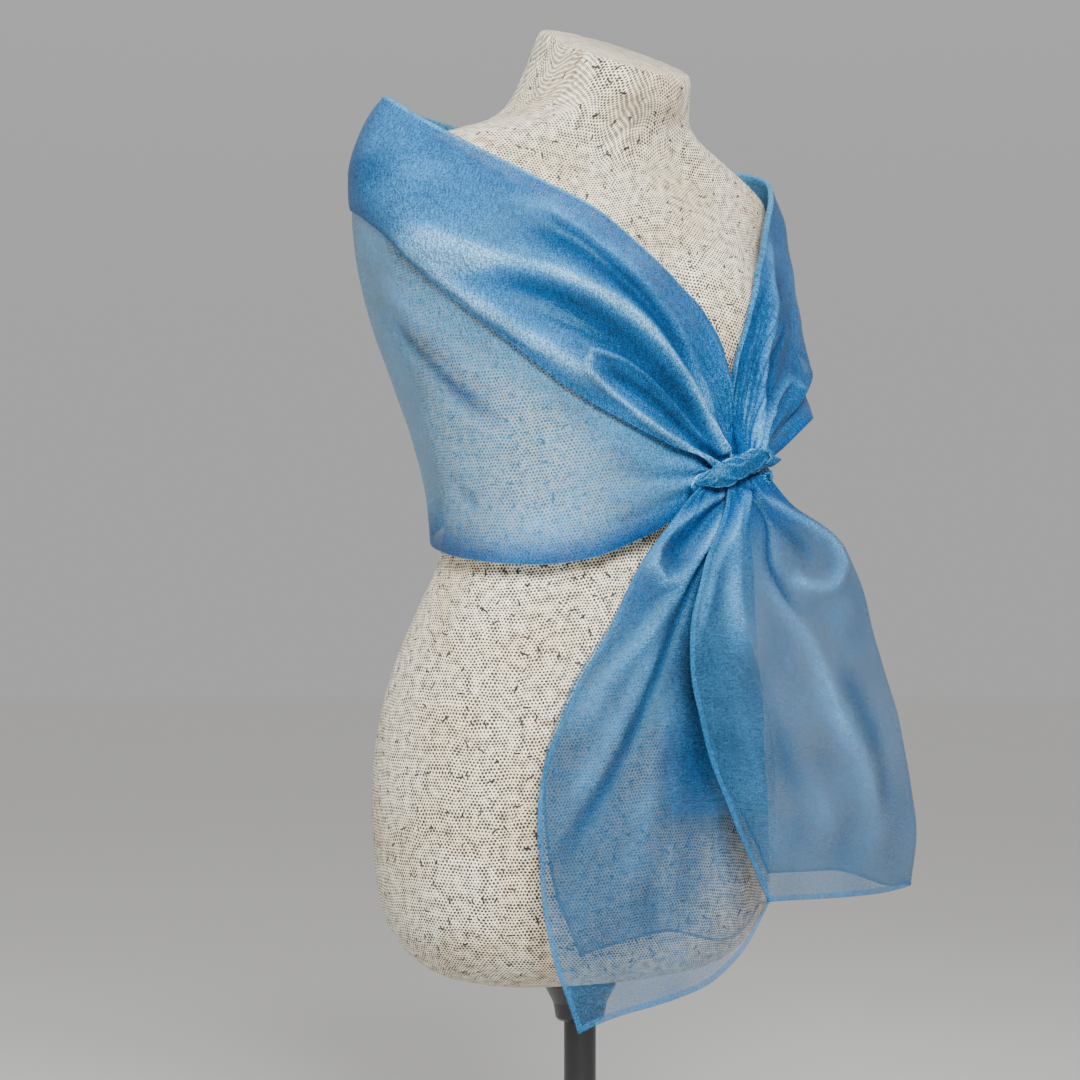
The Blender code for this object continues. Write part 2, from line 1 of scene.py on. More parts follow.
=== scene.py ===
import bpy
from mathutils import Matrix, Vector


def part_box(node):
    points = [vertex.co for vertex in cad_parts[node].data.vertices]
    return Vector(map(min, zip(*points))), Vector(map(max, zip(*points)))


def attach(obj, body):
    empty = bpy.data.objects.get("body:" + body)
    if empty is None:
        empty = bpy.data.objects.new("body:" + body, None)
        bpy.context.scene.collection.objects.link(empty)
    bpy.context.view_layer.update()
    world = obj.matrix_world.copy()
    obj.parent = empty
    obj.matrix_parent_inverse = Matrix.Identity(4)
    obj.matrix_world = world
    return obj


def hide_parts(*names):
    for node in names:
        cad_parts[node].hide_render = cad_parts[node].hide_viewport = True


bl_info = {
    "name": "Evening Stole on Dress Form",
    "version": (1, 0, 0),
    "blender": (4, 5, 0),
    "location": "3D View > Sidebar > Stole",
    "description": "Sheer organza stole knotted on a limbless dress form, over its packed CAD frame",
    "category": "Object",
}

import math
from collections import namedtuple

import bmesh
import bpy
import numpy as np
from mathutils import Vector, noise

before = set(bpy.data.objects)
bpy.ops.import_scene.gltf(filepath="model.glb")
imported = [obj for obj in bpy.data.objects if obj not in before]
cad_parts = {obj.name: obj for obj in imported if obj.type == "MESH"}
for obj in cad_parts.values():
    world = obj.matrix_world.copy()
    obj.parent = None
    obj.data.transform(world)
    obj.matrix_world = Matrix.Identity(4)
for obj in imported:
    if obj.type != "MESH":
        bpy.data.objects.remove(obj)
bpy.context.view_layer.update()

MM = 0.001


def table(columns, *rows):
    """Rows of numbers under named columns."""
    return tuple(columns(*row) for row in rows)


# The form, as in the part: height above its underside, half width, front and back, and how far
# forward the ring stands, in millimetres.
FormRing = namedtuple("FormRing", "height half_width front back forward")
FORM_RINGS = table(
    FormRing,
    (0, 92, 50, 58, 0),
    (5, 114, 70, 78, 0),
    (16, 135, 89, 95, 0),
    (34, 153, 104, 109, 0),
    (65, 166, 114, 119, 0),
    (105, 171, 118, 123, 0),
    (150, 172, 118, 125, 0),
    (185, 169, 116, 122, 0),
    (220, 162, 112, 115, 0),
    (255, 150, 106, 105, 0),
    (290, 133, 98, 95, 0),
    (320, 118, 92, 87, 0),
    (350, 113, 89, 83, 0),
    (390, 120, 92, 86, 0),
    (440, 133, 100, 95, 0),
    (500, 147, 108, 104, 0),
    (550, 160, 104, 108, 0),
    (585, 174, 92, 104, 0),
    (604, 183, 80, 96, 0),
    (618, 180, 70, 86, 2),
    (630, 158, 64, 76, 6),
    (641, 127, 61, 69, 11),
    (652, 96, 60, 65, 16),
    (664, 76, 60, 62, 22),
    (682, 65, 59, 60, 31),
    (705, 58, 57, 57, 40),
    (760, 57, 57, 57, 58),
)
STAND_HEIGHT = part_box("form_body")[0].z
FORM_POWER = 2.2
BUST_HEIGHT = 0.500
BUST_ANGLE = 34.0
BUST_RISE = 0.026
BUST_SPREAD = 24.0
BUST_REACH = 0.055
NECK_FOOT = 0.640
NECK_CAP_HEIGHT = 0.711
NECK_CAP_SLOPE = 0.48
NECK_CAP_EDGE = 0.006
FORM_SIDES = 144
FORM_HEIGHT_STEP = 0.0055
FORM_FOOT_HEIGHTS = (0.0, 0.0025, 0.005, 0.0105, 0.016)
FORM_SEAM_ANGLE = 220
FORM_SHARP_ANGLE = 50.0

# The cover cloth's net, in metres: how far its dots drift, and the slits that are scattered over it.
DOT_DRIFT = 0.0050
SLIT_CELLS = (0.013, 0.021)
SLIT_LEAST_LENGTH = 0.0009
SLIT_LENGTH_SPREAD = 0.0028
SLIT_WOBBLE = 0.0022
SLIT_HALF_WIDTHS = (0.00040, 0.00095)
SLITS_LEFT_OUT = (0.52, 0.54)
SLIT_ENDS = (0.8, 1.1)
DOT_EDGE = (0.85, 1.12)
SHADED_SHARES = (0.86, 0.80, 0.70)
PALE_SHARE = 1.10

# The wrap, within a few millimetres of its solids: edges and distances from the form's axis of the under
# layer, and the edge and lift of the turned-over layer, in millimetres, at angles in degrees round the
# form from its front towards its right arm.
WrapRow = namedtuple("WrapRow", "angle low top r_low r_third r_high r_top lean")
WRAP_ROWS = table(
    WrapRow,
    (-11.4, 678, 695, 133, 133, 134, 134, -2),
    (-9, 674, 736, 129, 132, 135, 137, -4.5),
    (-5, 665, 772, 123, 130, 135, 139, -3.5),
    (0, 656, 796, 117, 127, 134, 138, -1.5),
    (8, 644, 815, 113, 125, 136, 139, 0),
    (20, 633, 838, 113, 127, 140, 141, 0),
    (34, 622, 866, 119, 131, 146, 142, 0),
    (50, 616, 888, 128, 141, 157, 147, 0),
    (66, 617, 911, 134, 151, 171, 157, 0),
    (82, 622, 937, 132, 156, 184, 167, 0),
    (96, 628, 960, 127, 152, 187, 169, 0),
    (110, 634, 966, 121, 147, 181, 150, 0),
    (130, 646, 968, 112, 134, 155, 122, 0),
    (155, 668, 966, 99, 110, 118, 98, 0),
    (180, 690, 962, 95, 100, 104, 90, 0),
    (205, 706, 957, 100, 110, 118, 98, 0),
    (230, 722, 950, 120, 135, 152, 122, 0),
    (250, 734, 948, 146, 160, 172, 146, 0),
    (264, 741, 949, 162, 173, 186, 172, 0),
    (278, 744, 938, 172, 178, 184, 173, 0),
    (292, 746, 915, 180, 176, 169, 158, 0),
    (304, 738, 890, 184, 170, 154, 145, 0),
    (314, 728, 868, 176, 153, 145, 140, 1),
    (323, 705, 840, 156, 148, 143, 139, 5),
    (331, 694, 797, 146, 144, 143, 141, 8),
    (334.5, 690, 762, 142, 142, 142, 141, 11.5),
    (337, 683, 725, 140, 140, 140, 140, 11),
    (338.4, 678, 695, 139, 139, 139, 139, 6),
)
TurnRow = namedtuple("TurnRow", "angle edge lift_edge lift_mid lift_top")
TURN_ROWS = table(
    TurnRow,
    (-11.4, 679, 6, 6, 5),
    (-4, 693, 7, 9, 5),
    (10, 704, 6, 13, 5),
    (26, 719, 5, 16, 6),
    (46, 747, 5, 15, 6),
    (58, 774, 5, 14, 6),
    (69, 800, 4, 13, 6),
    (79, 827, 4, 12, 6),
    (88, 854, 4, 11, 6),
    (97, 872, 4, 10, 6),
    (108, 884, 4, 8, 5),
    (140, 888, 4, 6, 5),
    (180, 882, 4, 6, 5),
    (220, 884, 4, 6, 5),
    (250, 868, 4, 8, 5),
    (264, 846, 4, 9, 5),
    (278, 818, 5, 10, 5),
    (292, 794, 6, 10, 5),
    (304, 772, 7, 10, 5),
    (314, 748, 8, 9, 5),
    (323, 724, 7, 8, 5),
    (331, 703, 6, 7, 5),
    (338.4, 679, 6, 6, 5),
)

# How the wrap rests on the form, where its sheet starts, bends and ends, and how its points crowd
# towards the knot: heights and distances in metres, angles in degrees.
FORM_CLEARANCE = 0.0036
CLOTH_ROUNDING = 0.004
SEAT_HEIGHT = 0.840
SEAT_REACH = 0.050
SEAT_SPREAD = 30.0
SEAT_SINK = 0.0034
RIGHT_END = -11.4
LEFT_END = 338.4
RIGHT_BEND = 100.0
LEFT_BEND = 256.0
POINT_CROWDING = 1.35
KNOT_PLACE = np.array((0.040, -0.134, 0.686))

# How uneven the wrap's layers are and how far apart they stay, and how its gathers, its turned edge and
# the cloth tucked in behind its edges run.
UNEVEN_UNDER = 0.0008
UNEVEN_TURNED = 0.0012
LEAST_UNDER_GAP = 0.0021
LEAST_TURNED_GAP = 0.0016
LEAST_GATHER = 1.0
MOST_WRAP_GATHER = 8.0
MOST_TAIL_GATHER = 6.0
GATHER_REACH = 13.0
COARSE_PLEATS = 7.5
FINE_PLEATS = 13.5
UNDER_GATHER_SHARE = 0.7
EDGE_DIP = 0.55
EDGE_DIP_ANGLE = 100
EDGE_DIP_SPREAD = 22
EDGE_HOLD = 0.06
TOP_HOLD = 0.08
LEAST_CREASE = 0.15
TUCK_DEPTH = 0.014
TUCK_COVER = 0.25
TUCK_GAP = 0.0015
TUCK_GAP_SPREAD = 0.0005
RETURN_DEPTH = 0.006
RETURN_GAP = 0.0011

# Creases laid one by one. Each runs from its far end to the knot through a few places on its sheet, in
# degrees round the form and millimetres above the floor. A negative rise is a trough.
Crease = namedtuple("Crease", "rise width knot_width fade knot_fade places")
TURNED_CREASES = table(
    Crease,
    (2.2, 26, 9, 0.2, 0.3, ((93, 905), (84, 868), (72, 828), (58, 790), (42, 757), (28, 734),
                            (16, 722))),
    (1.6, 22, 22, 0.3, 0.3, ((100, 930), (90, 925), (80, 905), (70, 880))),
    (-3.0, 15, 5, 0.3, 0.2, ((66, 872), (52, 862), (38, 838), (25, 808), (12, 775), (2, 742))),
    (-1.8, 20, 5, 0.3, 0.1, ((70, 838), (56, 812), (42, 788), (28, 768), (14, 742), (2, 716))),
    (2.8, 8, 2.2, 0.25, 0, ((72, 884), (52, 876), (37.5, 851), (19, 807), (1, 745), (-9, 704))),
    (5.0, 14, 2.6, 0.25, 0, ((84, 872), (69.6, 838), (43, 817), (25, 791), (8, 752), (-9, 700))),
    (-2.2, 9, 2.2, 0.4, 0, ((63, 858), (48, 852), (33, 829), (8.6, 761), (-9, 706))),
    (-4.6, 17, 3.0, 0.4, 0, ((72, 836), (56, 816), (40, 794), (26, 768), (9, 735), (-9, 695))),
    (1.0, 3, 3, 0.4, 0.4, ((54, 799), (37, 779), (24, 761))),
    (2.2, 9, 5, 0.3, 0.3, ((90, 872), (77, 828), (62, 792), (45, 762), (28, 736))),
    (3.8, 2.4, 2.4, 0, 0, ((-9, 698), (2, 716), (13, 736), (23, 754), (32, 765), (39, 766), (40, 759),
                           (36, 748), (29, 734), (17, 716), (3, 701), (-9, 690))),
    (-3.8, 5.0, 1.6, 0.15, 0, ((37, 760), (28, 747), (18, 733), (7, 716), (-8, 694))),
    (2.2, 2.0, 1.4, 0.3, 0, ((33, 728), (24, 722), (14, 711), (3, 702), (-8, 691))),
    (2.4, 3.5, 1.6, 0.4, 0, ((20, 790), (9, 765), (0, 735), (-9, 701))),
    (4.0, 10, 2.6, 0.25, 0, ((303, 896), (317, 858), (328, 812), (334, 764), (337.5, 705))),
    (3.2, 3.2, 3.2, 0, 0, ((336, 700), (330, 732), (322, 753), (315, 763), (311, 755), (322, 727),
                           (335, 694))),
    (2.4, 2.6, 2.6, 0, 0, ((337.5, 700), (336, 722), (332, 739), (329, 734), (333, 718), (337, 698))),
    (-3.0, 6, 1.8, 0.25, 0, ((308, 858), (320, 806), (326, 774), (332, 738), (337, 700))),
    (1.6, 10, 6, 0.35, 0.35, ((292, 876), (300, 840), (308, 800), (316, 772))),
    (-1.6, 9, 9, 0.4, 0.4, ((128, 952), (160, 930), (200, 926), (238, 938))),
    (1.8, 8, 8, 0.4, 0.4, ((120, 916), (150, 908), (186, 902), (222, 908))),
    (-1.4, 7, 7, 0.4, 0.4, ((104, 944), (112, 915), (128, 896))),
    (-1.6, 8, 8, 0.4, 0.4, ((246, 936), (256, 905), (262, 868))),
)
UNDER_CREASES = table(
    Crease,
    (3.0, 8, 7, 0.3, 0.35, ((97, 832), (89, 806), (77, 772), (66, 747), (54, 727))),
    (-3.2, 7, 8, 0.3, 0.35, ((96, 812), (88, 784), (76.5, 749), (67, 726), (55, 707))),
    (-3.0, 5, 6, 0.35, 0.35, ((87, 694), (79, 674), (70, 652))),
    (1.6, 8, 8, 0.35, 0.35, ((91, 706), (82, 684), (72, 662))),
    (2.2, 7, 1.8, 0.35, 0, ((40, 704), (28, 698), (17, 692), (4, 690), (-9, 686))),
    (-1.6, 6, 1.6, 0.35, 0, ((34, 690), (18, 683), (4, 682), (-9, 683))),
    (2.0, 9, 1.8, 0.35, 0, ((44, 668), (26, 666), (10, 671), (-9, 681))),
    (-1.6, 7, 1.6, 0.35, 0, ((40, 650), (22, 650), (6, 664), (-9, 679))),
    (1.4, 14, 14, 0.4, 0.4, ((84, 640), (62, 632), (40, 640), (24, 652))),
    (2.0, 12, 10, 0.4, 0.4, ((112, 830), (120, 780), (134, 730), (150, 700))),
    (-2.0, 10, 9, 0.4, 0.4, ((120, 850), (130, 800), (146, 756), (164, 724))),
    (2.0, 12, 10, 0.4, 0.4, ((176, 850), (200, 800), (222, 770), (240, 752))),
    (-1.8, 9, 9, 0.4, 0.4, ((190, 862), (214, 820), (236, 792), (254, 776))),
    (2.4, 9, 2.4, 0.35, 0, ((286, 790), (302, 772), (318, 744), (330, 716), (337.5, 690))),
    (-2.0, 7, 2.0, 0.35, 0, ((290, 770), (306, 752), (320, 730), (332, 704), (337.5, 685))),
)

# The tails, within a few millimetres of their solids, and their creases: places as distances to the side
# of the knot and below it, in millimetres.
TailRow = namedtuple("TailRow", "left left_drop left_y right right_drop right_y bow")
LONG_TAIL_ROWS = table(
    TailRow,
    (-38, 11, 137, 6, 8, 138, 0),
    (-58, 33, 132, 8, 28, 138, 2),
    (-88, 68, 128, 10, 62, 140, 4),
    (-115, 118, 123, 13, 106, 141, 6),
    (-150, 174, 116, 16, 150, 142, 7),
    (-172, 230, 113, 19, 192, 143, 8),
    (-173, 290, 114, 21, 236, 144, 8),
    (-164, 350, 117, 22, 280, 145, 8),
    (-142, 408, 120, 22, 324, 146, 8),
)
SHORT_TAIL_ROWS = table(
    TailRow,
    (-16, 8, 143, 24, -1, 141, 0),
    (-27, 32, 149, 48, 24, 147, 3),
    (-48, 66, 154, 86, 46, 152, 6),
    (-66, 110, 157, 114, 82, 154, 9),
    (-68, 150, 159, 128, 124, 155, 11),
    (-58, 196, 161, 147, 172, 156, 12),
    (-39, 242, 163, 162, 222, 157, 12),
    (-17, 284, 165, 171, 272, 158, 11),
    (2, 319, 166, 165, 317, 158, 10),
)
TailShape = namedtuple("TailShape", "rows creases hem_sag back_shorter soft_fold patch_side patch_drop")
LONG_TAIL_CREASES = table(
    Crease,
    (4.2, 4.5, 4.5, 0, 0, ((-10, 14), (-40, 29), (-63, 44), (-79, 64), (-78, 80), (-69, 85),
                           (-53, 74), (-29, 45), (-8, 18))),
    (-3.0, 7, 2.5, 0.2, 0, ((-70, 72), (-52, 54), (-30, 35), (-9, 17))),
    (-2.6, 7, 3.0, 0.3, 0, ((-66, 108), (-50, 88), (-30, 60), (-4, 20))),
    (4.0, 10, 3.0, 0.3, 0, ((-158, 214), (-127, 166), (-97, 133), (-70, 102), (-42, 71), (-6, 20))),
    (3.4, 13, 6.0, 0.35, 0.2, ((-164, 290), (-140, 238), (-112, 190), (-90, 152), (-70, 116))),
    (-4.0, 9, 3.0, 0.25, 0, ((-168, 312), (-152, 278), (-129, 241), (-105, 207), (-80, 157),
                             (-56, 104), (-30, 60), (-2, 19))),
    (1.6, 10, 5.0, 0.35, 0.3, ((-118, 350), (-98, 280), (-80, 210), (-60, 150))),
    (-2.6, 18, 9.0, 0.35, 0.1, ((-46, 300), (-44, 230), (-40, 160), (-34, 100), (-18, 50))),
    (1.4, 9, 5.0, 0.35, 0.3, ((-78, 352), (-72, 300), (-66, 240), (-60, 200))),
    (-1.6, 8, 5.0, 0.35, 0.3, ((-92, 372), (-78, 290), (-64, 220))),
    (1.6, 8, 5.0, 0.35, 0.3, ((-22, 344), (-26, 270), (-24, 190))),
)
SHORT_TAIL_CREASES = table(
    Crease,
    (3.0, 4, 2.4, 0.3, 0, ((-64, 150), (-60, 120), (-50, 92), (-36, 64), (-18, 38), (-4, 16))),
    (-2.0, 6, 2.4, 0.3, 0, ((-48, 128), (-38, 92), (-22, 60), (-3, 17))),
    (4.6, 12, 3.0, 0.3, 0, ((-20, 150), (-28, 100), (-24, 62), (-10, 34), (0, 16))),
    (4.2, 14, 8.0, 0.3, 0.2, ((116, 292), (111, 240), (72, 182), (45, 128), (16, 96), (-8, 66))),
    (-3.0, 14, 8.0, 0.3, 0.3, ((140, 270), (128, 214), (100, 168), (74, 128))),
    (-5.0, 7, 2.2, 0.3, 0, ((44, 116), (26, 94), (12, 68), (15, 38), (5, 16))),
    (4.6, 7, 5.0, 0, 0.1, ((38, 82), (60, 86), (85, 78), (93, 66), (87, 53), (67, 41), (33, 27),
                           (9, 16))),
    (-2.6, 8, 3.0, 0.3, 0, ((64, 66), (44, 52), (26, 38), (8, 17))),
    (1.4, 9, 6.0, 0.35, 0.3, ((8, 306), (-6, 240), (-26, 180), (-36, 130))),
    (-1.4, 9, 6.0, 0.35, 0.3, ((46, 306), (30, 240), (6, 180), (-8, 130))),
    (1.4, 8, 6.0, 0.35, 0.3, ((72, 308), (56, 250), (34, 196))),
    (1.4, 9, 6.0, 0.35, 0.3, ((150, 300), (146, 240), (130, 180), (112, 130))),
)
LONG_TAIL = TailShape(LONG_TAIL_ROWS, LONG_TAIL_CREASES, 0.024, 0.050, 0.92, -74, 256)
SHORT_TAIL = TailShape(SHORT_TAIL_ROWS, SHORT_TAIL_CREASES, 0.002, 0.020, 0.0, 500, 0)

# How the tails' pleats, creases and layers run, and their hems.
UNEVEN_TAIL = 0.0016
TAIL_PLEATS = 6.5
TAIL_PLEAT_HEIGHT = 0.0010
TAIL_PLEAT_FADE = 9
TAIL_CROWDING = 1.15
TAIL_MAP_LENGTH = 0.42
TAIL_KNOT_SHADE = 0.30
TAIL_KNOT_REACH = 0.16
LEAST_TAIL_LAYERS = 0.15
BACK_CREASE_SHARE = 0.8
TAIL_FOLD_SHARE = 0.7
LAYER_GAP_AT_KNOT = 0.0035
LAYER_GAP_AT_HEM = 0.0090
BACK_LAYER_INSET = 0.045
SOFT_FOLD_REACH = 17.0
BACK_LAYER_TURN = 0.60
HEM_SAG_PLACE = 2 / 3
HEM_THICKNESS = 0.0011
HEM_COVER = 0.34
BACK_HEM_COVER = 0.14
BACK_HEM_SHARE = 0.5
HEM_SHARES = np.array([-0.04, 0.2, 0.5, 0.8, 1.0])
STITCH_SHARE = 0.8
STITCH_RAISE = 0.0007

# How many points the sheets have.
RIGHT_COLUMNS = 132
BACK_COLUMNS = 64
LEFT_COLUMNS = 92
UNDER_POINTS = 44
TURNED_POINTS = 80
RETURN_POINTS = 5
FOLD_POINTS = 4
TAIL_LENGTH_POINTS = 120
TAIL_FRONT_POINTS = 54
TAIL_BACK_POINTS = 40

# How folds, layers, gathers and light change how much the cloth hides and how deep its blue is. Troughs, the
# knot's surroundings and the left front get painted shade; the foot band is denser for the cloth turned under
# it and partly as painted shadow; a lit zone of the under layer hides less as a painted pool of light.
FOLD_HEIGHT = 0.0040
TROUGH_COVER = 0.45
TURNED_LAYERS = 0.85
TOUCHING_LOSS = 0.35
TOUCHING_REACH = 0.010
TURNED_DENSITY = 2.3
FOOT_BAND = 0.022
KNOT_REACH = 24.0
LIT_ANGLE = 38.0
LIT_SPREAD = 26.0
LIT_HEIGHT = 0.712
LIT_REACH = 0.050
LIT_LOSS = 0.32
LEFT_SHADE = 0.30
LEFT_SHADE_START = 285.0
LEFT_SHADE_SPREAD = 30.0
KNOT_SHADE = 0.25
FOOT_DEPTH = 0.45
KNOT_DEPTH = 0.65
PLAIN_UNDER = 0.31
PLAIN_TURNED = 0.15
WRAP_MAP_RADIUS = 0.165
PATCH_HEIGHT = 110
PATCH_EDGE = 4
PATCH_FADE = 60
PATCH_COVER = 0.20
PATCH_LAYERS = 0.45

# How closely a crease's path is followed, and the distance from the axis at which it is measured, in
# millimetres.
CREASE_STEPS = 14
CREASE_RADIUS = 150.0
DEGREE_WIDTH = CREASE_RADIUS * math.pi / 180


def length_setting(name, description, default):
    return bpy.props.FloatProperty(name=name, description=description, default=default, unit="LENGTH")


def colour_setting(name, description, default):
    return bpy.props.FloatVectorProperty(
        name=name, description=description, default=default, subtype="COLOR")


class FormSettings(bpy.types.PropertyGroup):
    dot_pitch: length_setting("Dot Pitch", "Distance between the dark dots of the cover", 0.0027)
    dot_radius: length_setting("Dot Radius", "Radius of a dark dot", 0.00092)
    cover_colour: colour_setting("Cover Colour", "Ivory of the cover cloth", (0.99, 0.885, 0.68))
    dot_colour: colour_setting("Dot Colour", "Near black of the dots and slits", (0.010, 0.009, 0.008))


class StoleSettings(bpy.types.PropertyGroup):
    cloth_thickness: length_setting("Cloth Thickness", "Thickness of the organza", 0.0003)
    layer_cover: bpy.props.FloatProperty(
        name="Layer Cover", description="Share of what lies behind that one smooth layer hides",
        default=0.52, subtype="FACTOR")
    # Painted light: the blue that the raised folds are mixed towards.
    painted_light_colour: colour_setting("Light Blue", "Blue of the raised, well lit folds", (0.060, 0.27, 0.56))
    # Painted highlight: the pale glint on the ridges' crests.
    painted_glint_colour: colour_setting("Crest Blue", "Pale blue glint on the ridges' crests", (0.26, 0.54, 0.80))
    # Painted shade: the blue that troughs and shaded folds are mixed towards.
    painted_shade_colour: colour_setting("Deep Blue", "Blue deep in the folds", (0.003, 0.050, 0.16))
    hem_width: length_setting("Hem Width", "Width of the narrow hems", 0.0042)
    stitch_pitch: length_setting("Stitch Pitch", "Distance between hem stitches", 0.0030)
    stitch_length: length_setting("Stitch Length", "Length of a hem stitch", 0.0021)
    thread_diameter: length_setting("Thread Diameter", "Diameter of the hem thread", 0.00035)
    gather_height: length_setting("Gather Height", "Height of the fine gathers at the knot", 0.0011)


class StageSettings(bpy.types.PropertyGroup):
    camera_azimuth: bpy.props.FloatProperty(
        name="Camera Azimuth", description="Direction of the camera round the form, in degrees",
        default=-40.0)
    camera_distance: length_setting("Camera Distance", "Distance from the form's axis", 1.90)
    camera_height: length_setting("Camera Height", "Height of the camera above the floor", 0.542)
    focal_length: bpy.props.FloatProperty(
        name="Focal Length", description="Focal length in millimetres", default=81.2)
    key_power: bpy.props.FloatProperty(
        name="Key Power", description="Power of the soft key light in watts", default=24.0)
    fill_power: bpy.props.FloatProperty(
        name="Fill Power", description="Power of the fill light in watts", default=3.0)
    floor_colour: colour_setting("Floor Colour", "Plain pale grey of the floor", (0.71, 0.71, 0.71))


class Amount:
    """A number in a material's nodes, so that shader maths reads as plain arithmetic."""

    def __init__(self, surface, socket):
        self.surface = surface
        self.socket = socket

    def __add__(self, other):
        return self.surface.maths("ADD", self, other)

    __radd__ = __add__

    def __sub__(self, other):
        return self.surface.maths("SUBTRACT", self, other)

    def __rsub__(self, other):
        return self.surface.maths("SUBTRACT", other, self)

    def __mul__(self, other):
        return self.surface.maths("MULTIPLY", self, other)

    __rmul__ = __mul__

    def __truediv__(self, other):
        return self.surface.maths("DIVIDE", self, other)


class Surface:
    """One material: its Principled shader and the nodes that feed it."""

    def __init__(self, name, constants):
        self.material = bpy.data.materials.new(name)
        self.material.use_nodes = True
        self.tree = self.material.node_tree
        self.shader = self.tree.nodes["Principled BSDF"]
        for socket, value in constants.items():
            self.shader.inputs[socket].default_value = value

    def node(self, kind, settings, inputs):
        """A node of a kind: its settings first, then the values or links of its sockets."""
        node = self.tree.nodes.new(kind)
        for name, value in settings.items():
            setattr(node, name, value)
        for key, value in inputs.items():
            if isinstance(value, Amount):
                self.tree.links.new(value.socket, node.inputs[key])
            else:
                node.inputs[key].default_value = value
        return node

    def maths(self, operation, *values):
        node = self.node("ShaderNodeMath", {"operation": operation}, dict(enumerate(values)))
        return Amount(self, node.outputs[0])

    def step(self, value, low, high):
        """1 above high, 0 below low, and a smooth change between them."""
        node = self.node("ShaderNodeMapRange", {"interpolation_type": "SMOOTHSTEP"},
                         {"Value": value, "From Min": low, "From Max": high})
        return Amount(self, node.outputs["Result"])

    def mix(self, share, first, second):
        node = self.node("ShaderNodeMix", {"data_type": "RGBA"}, {0: share, 6: first, 7: second})
        return Amount(self, node.outputs[2])

    def texture(self, kind, settings, place, output, **sizes):
        """One output of a texture node at a place."""
        inputs = {name.title(): value for name, value in sizes.items()}
        node = self.node(kind, settings, {"Vector": place, **inputs})
        return Amount(self, node.outputs[output])

    def noise(self, place, dimensions, output="Fac", **sizes):
        return self.texture("ShaderNodeTexNoise", {"noise_dimensions": dimensions}, place, output, **sizes)

    def object_place(self):
        node = self.node("ShaderNodeTexCoord", {}, {})
        return Amount(self, node.outputs["Object"])

    def map_place(self, name):
        node = self.node("ShaderNodeUVMap", {"uv_map": name}, {})
        return Amount(self, node.outputs["UV"])

    def own_value(self, name):
        node = self.node("ShaderNodeAttribute", {"attribute_name": name}, {})
        return Amount(self, node.outputs["Fac"])

    def parts(self, place):
        node = self.node("ShaderNodeSeparateXYZ", {}, {0: place})
        return [Amount(self, node.outputs[axis]) for axis in range(3)]

    def joined(self, *axes):
        node = self.node("ShaderNodeCombineXYZ", {}, dict(enumerate(axes)))
        return Amount(self, node.outputs[0])

    def feed(self, socket, value):
        self.tree.links.new(value.socket, self.shader.inputs[socket])

    def relief(self, height, strength, distance):
        """Feeds a height to the shader's normal."""
        node = self.node("ShaderNodeBump", {}, {"Strength": strength, "Distance": distance, "Height": height})
        self.tree.links.new(node.outputs["Normal"], self.shader.inputs["Normal"])


def colour4(colour):
    return (*colour, 1.0)


def dot_net(surface, across, down, pitch, radius):
    """1 inside the dots of a staggered net, and 0 between them."""
    row = pitch * math.sqrt(3)
    gaps = []
    for shift in (0.0, 0.5):
        side = (surface.maths("FRACT", across / pitch + shift) - 0.5) * pitch
        drop = (surface.maths("FRACT", down / row + shift) - 0.5) * row
        gaps.append(surface.maths("SQRT", side * side + drop * drop))
    nearest = surface.maths("MINIMUM", *gaps)
    return 1 - surface.step(nearest / radius, *DOT_EDGE)


def slits(surface, across, down, cell):
    """1 inside short slits that lie scattered at random turns, at most one to a cell."""
    place = surface.joined(across / cell, down / cell, 0.0)
    settings = {"voronoi_dimensions": "2D", "feature": "F1"}
    node = surface.node("ShaderNodeTexVoronoi", settings, {"Vector": place, "Scale": 1.0, "Randomness": 1.0})
    centre = surface.parts(Amount(surface, node.outputs["Position"]))
    chance = surface.parts(Amount(surface, node.outputs["Color"]))
    side = (across / cell - centre[0]) * cell
    drop = (down / cell - centre[1]) * cell
    turn = chance[0] * math.pi
    cosine = surface.maths("COSINE", turn)
    sine = surface.maths("SINE", turn)
    wobble = surface.noise(surface.joined(across, down, 0.0), "2D", scale=260.0, detail=1.0)
    along = surface.maths("ABSOLUTE", side * cosine + drop * sine)
    away = surface.maths("ABSOLUTE", drop * cosine - side * sine + (wobble - 0.5) * SLIT_WOBBLE)
    length = SLIT_LEAST_LENGTH + chance[2] * SLIT_LENGTH_SPREAD
    shown = surface.step(chance[1], *SLITS_LEFT_OUT)
    inside = (1 - surface.step(along / length, *SLIT_ENDS)) * (1 - surface.step(away, *SLIT_HALF_WIDTHS))
    return inside * shown


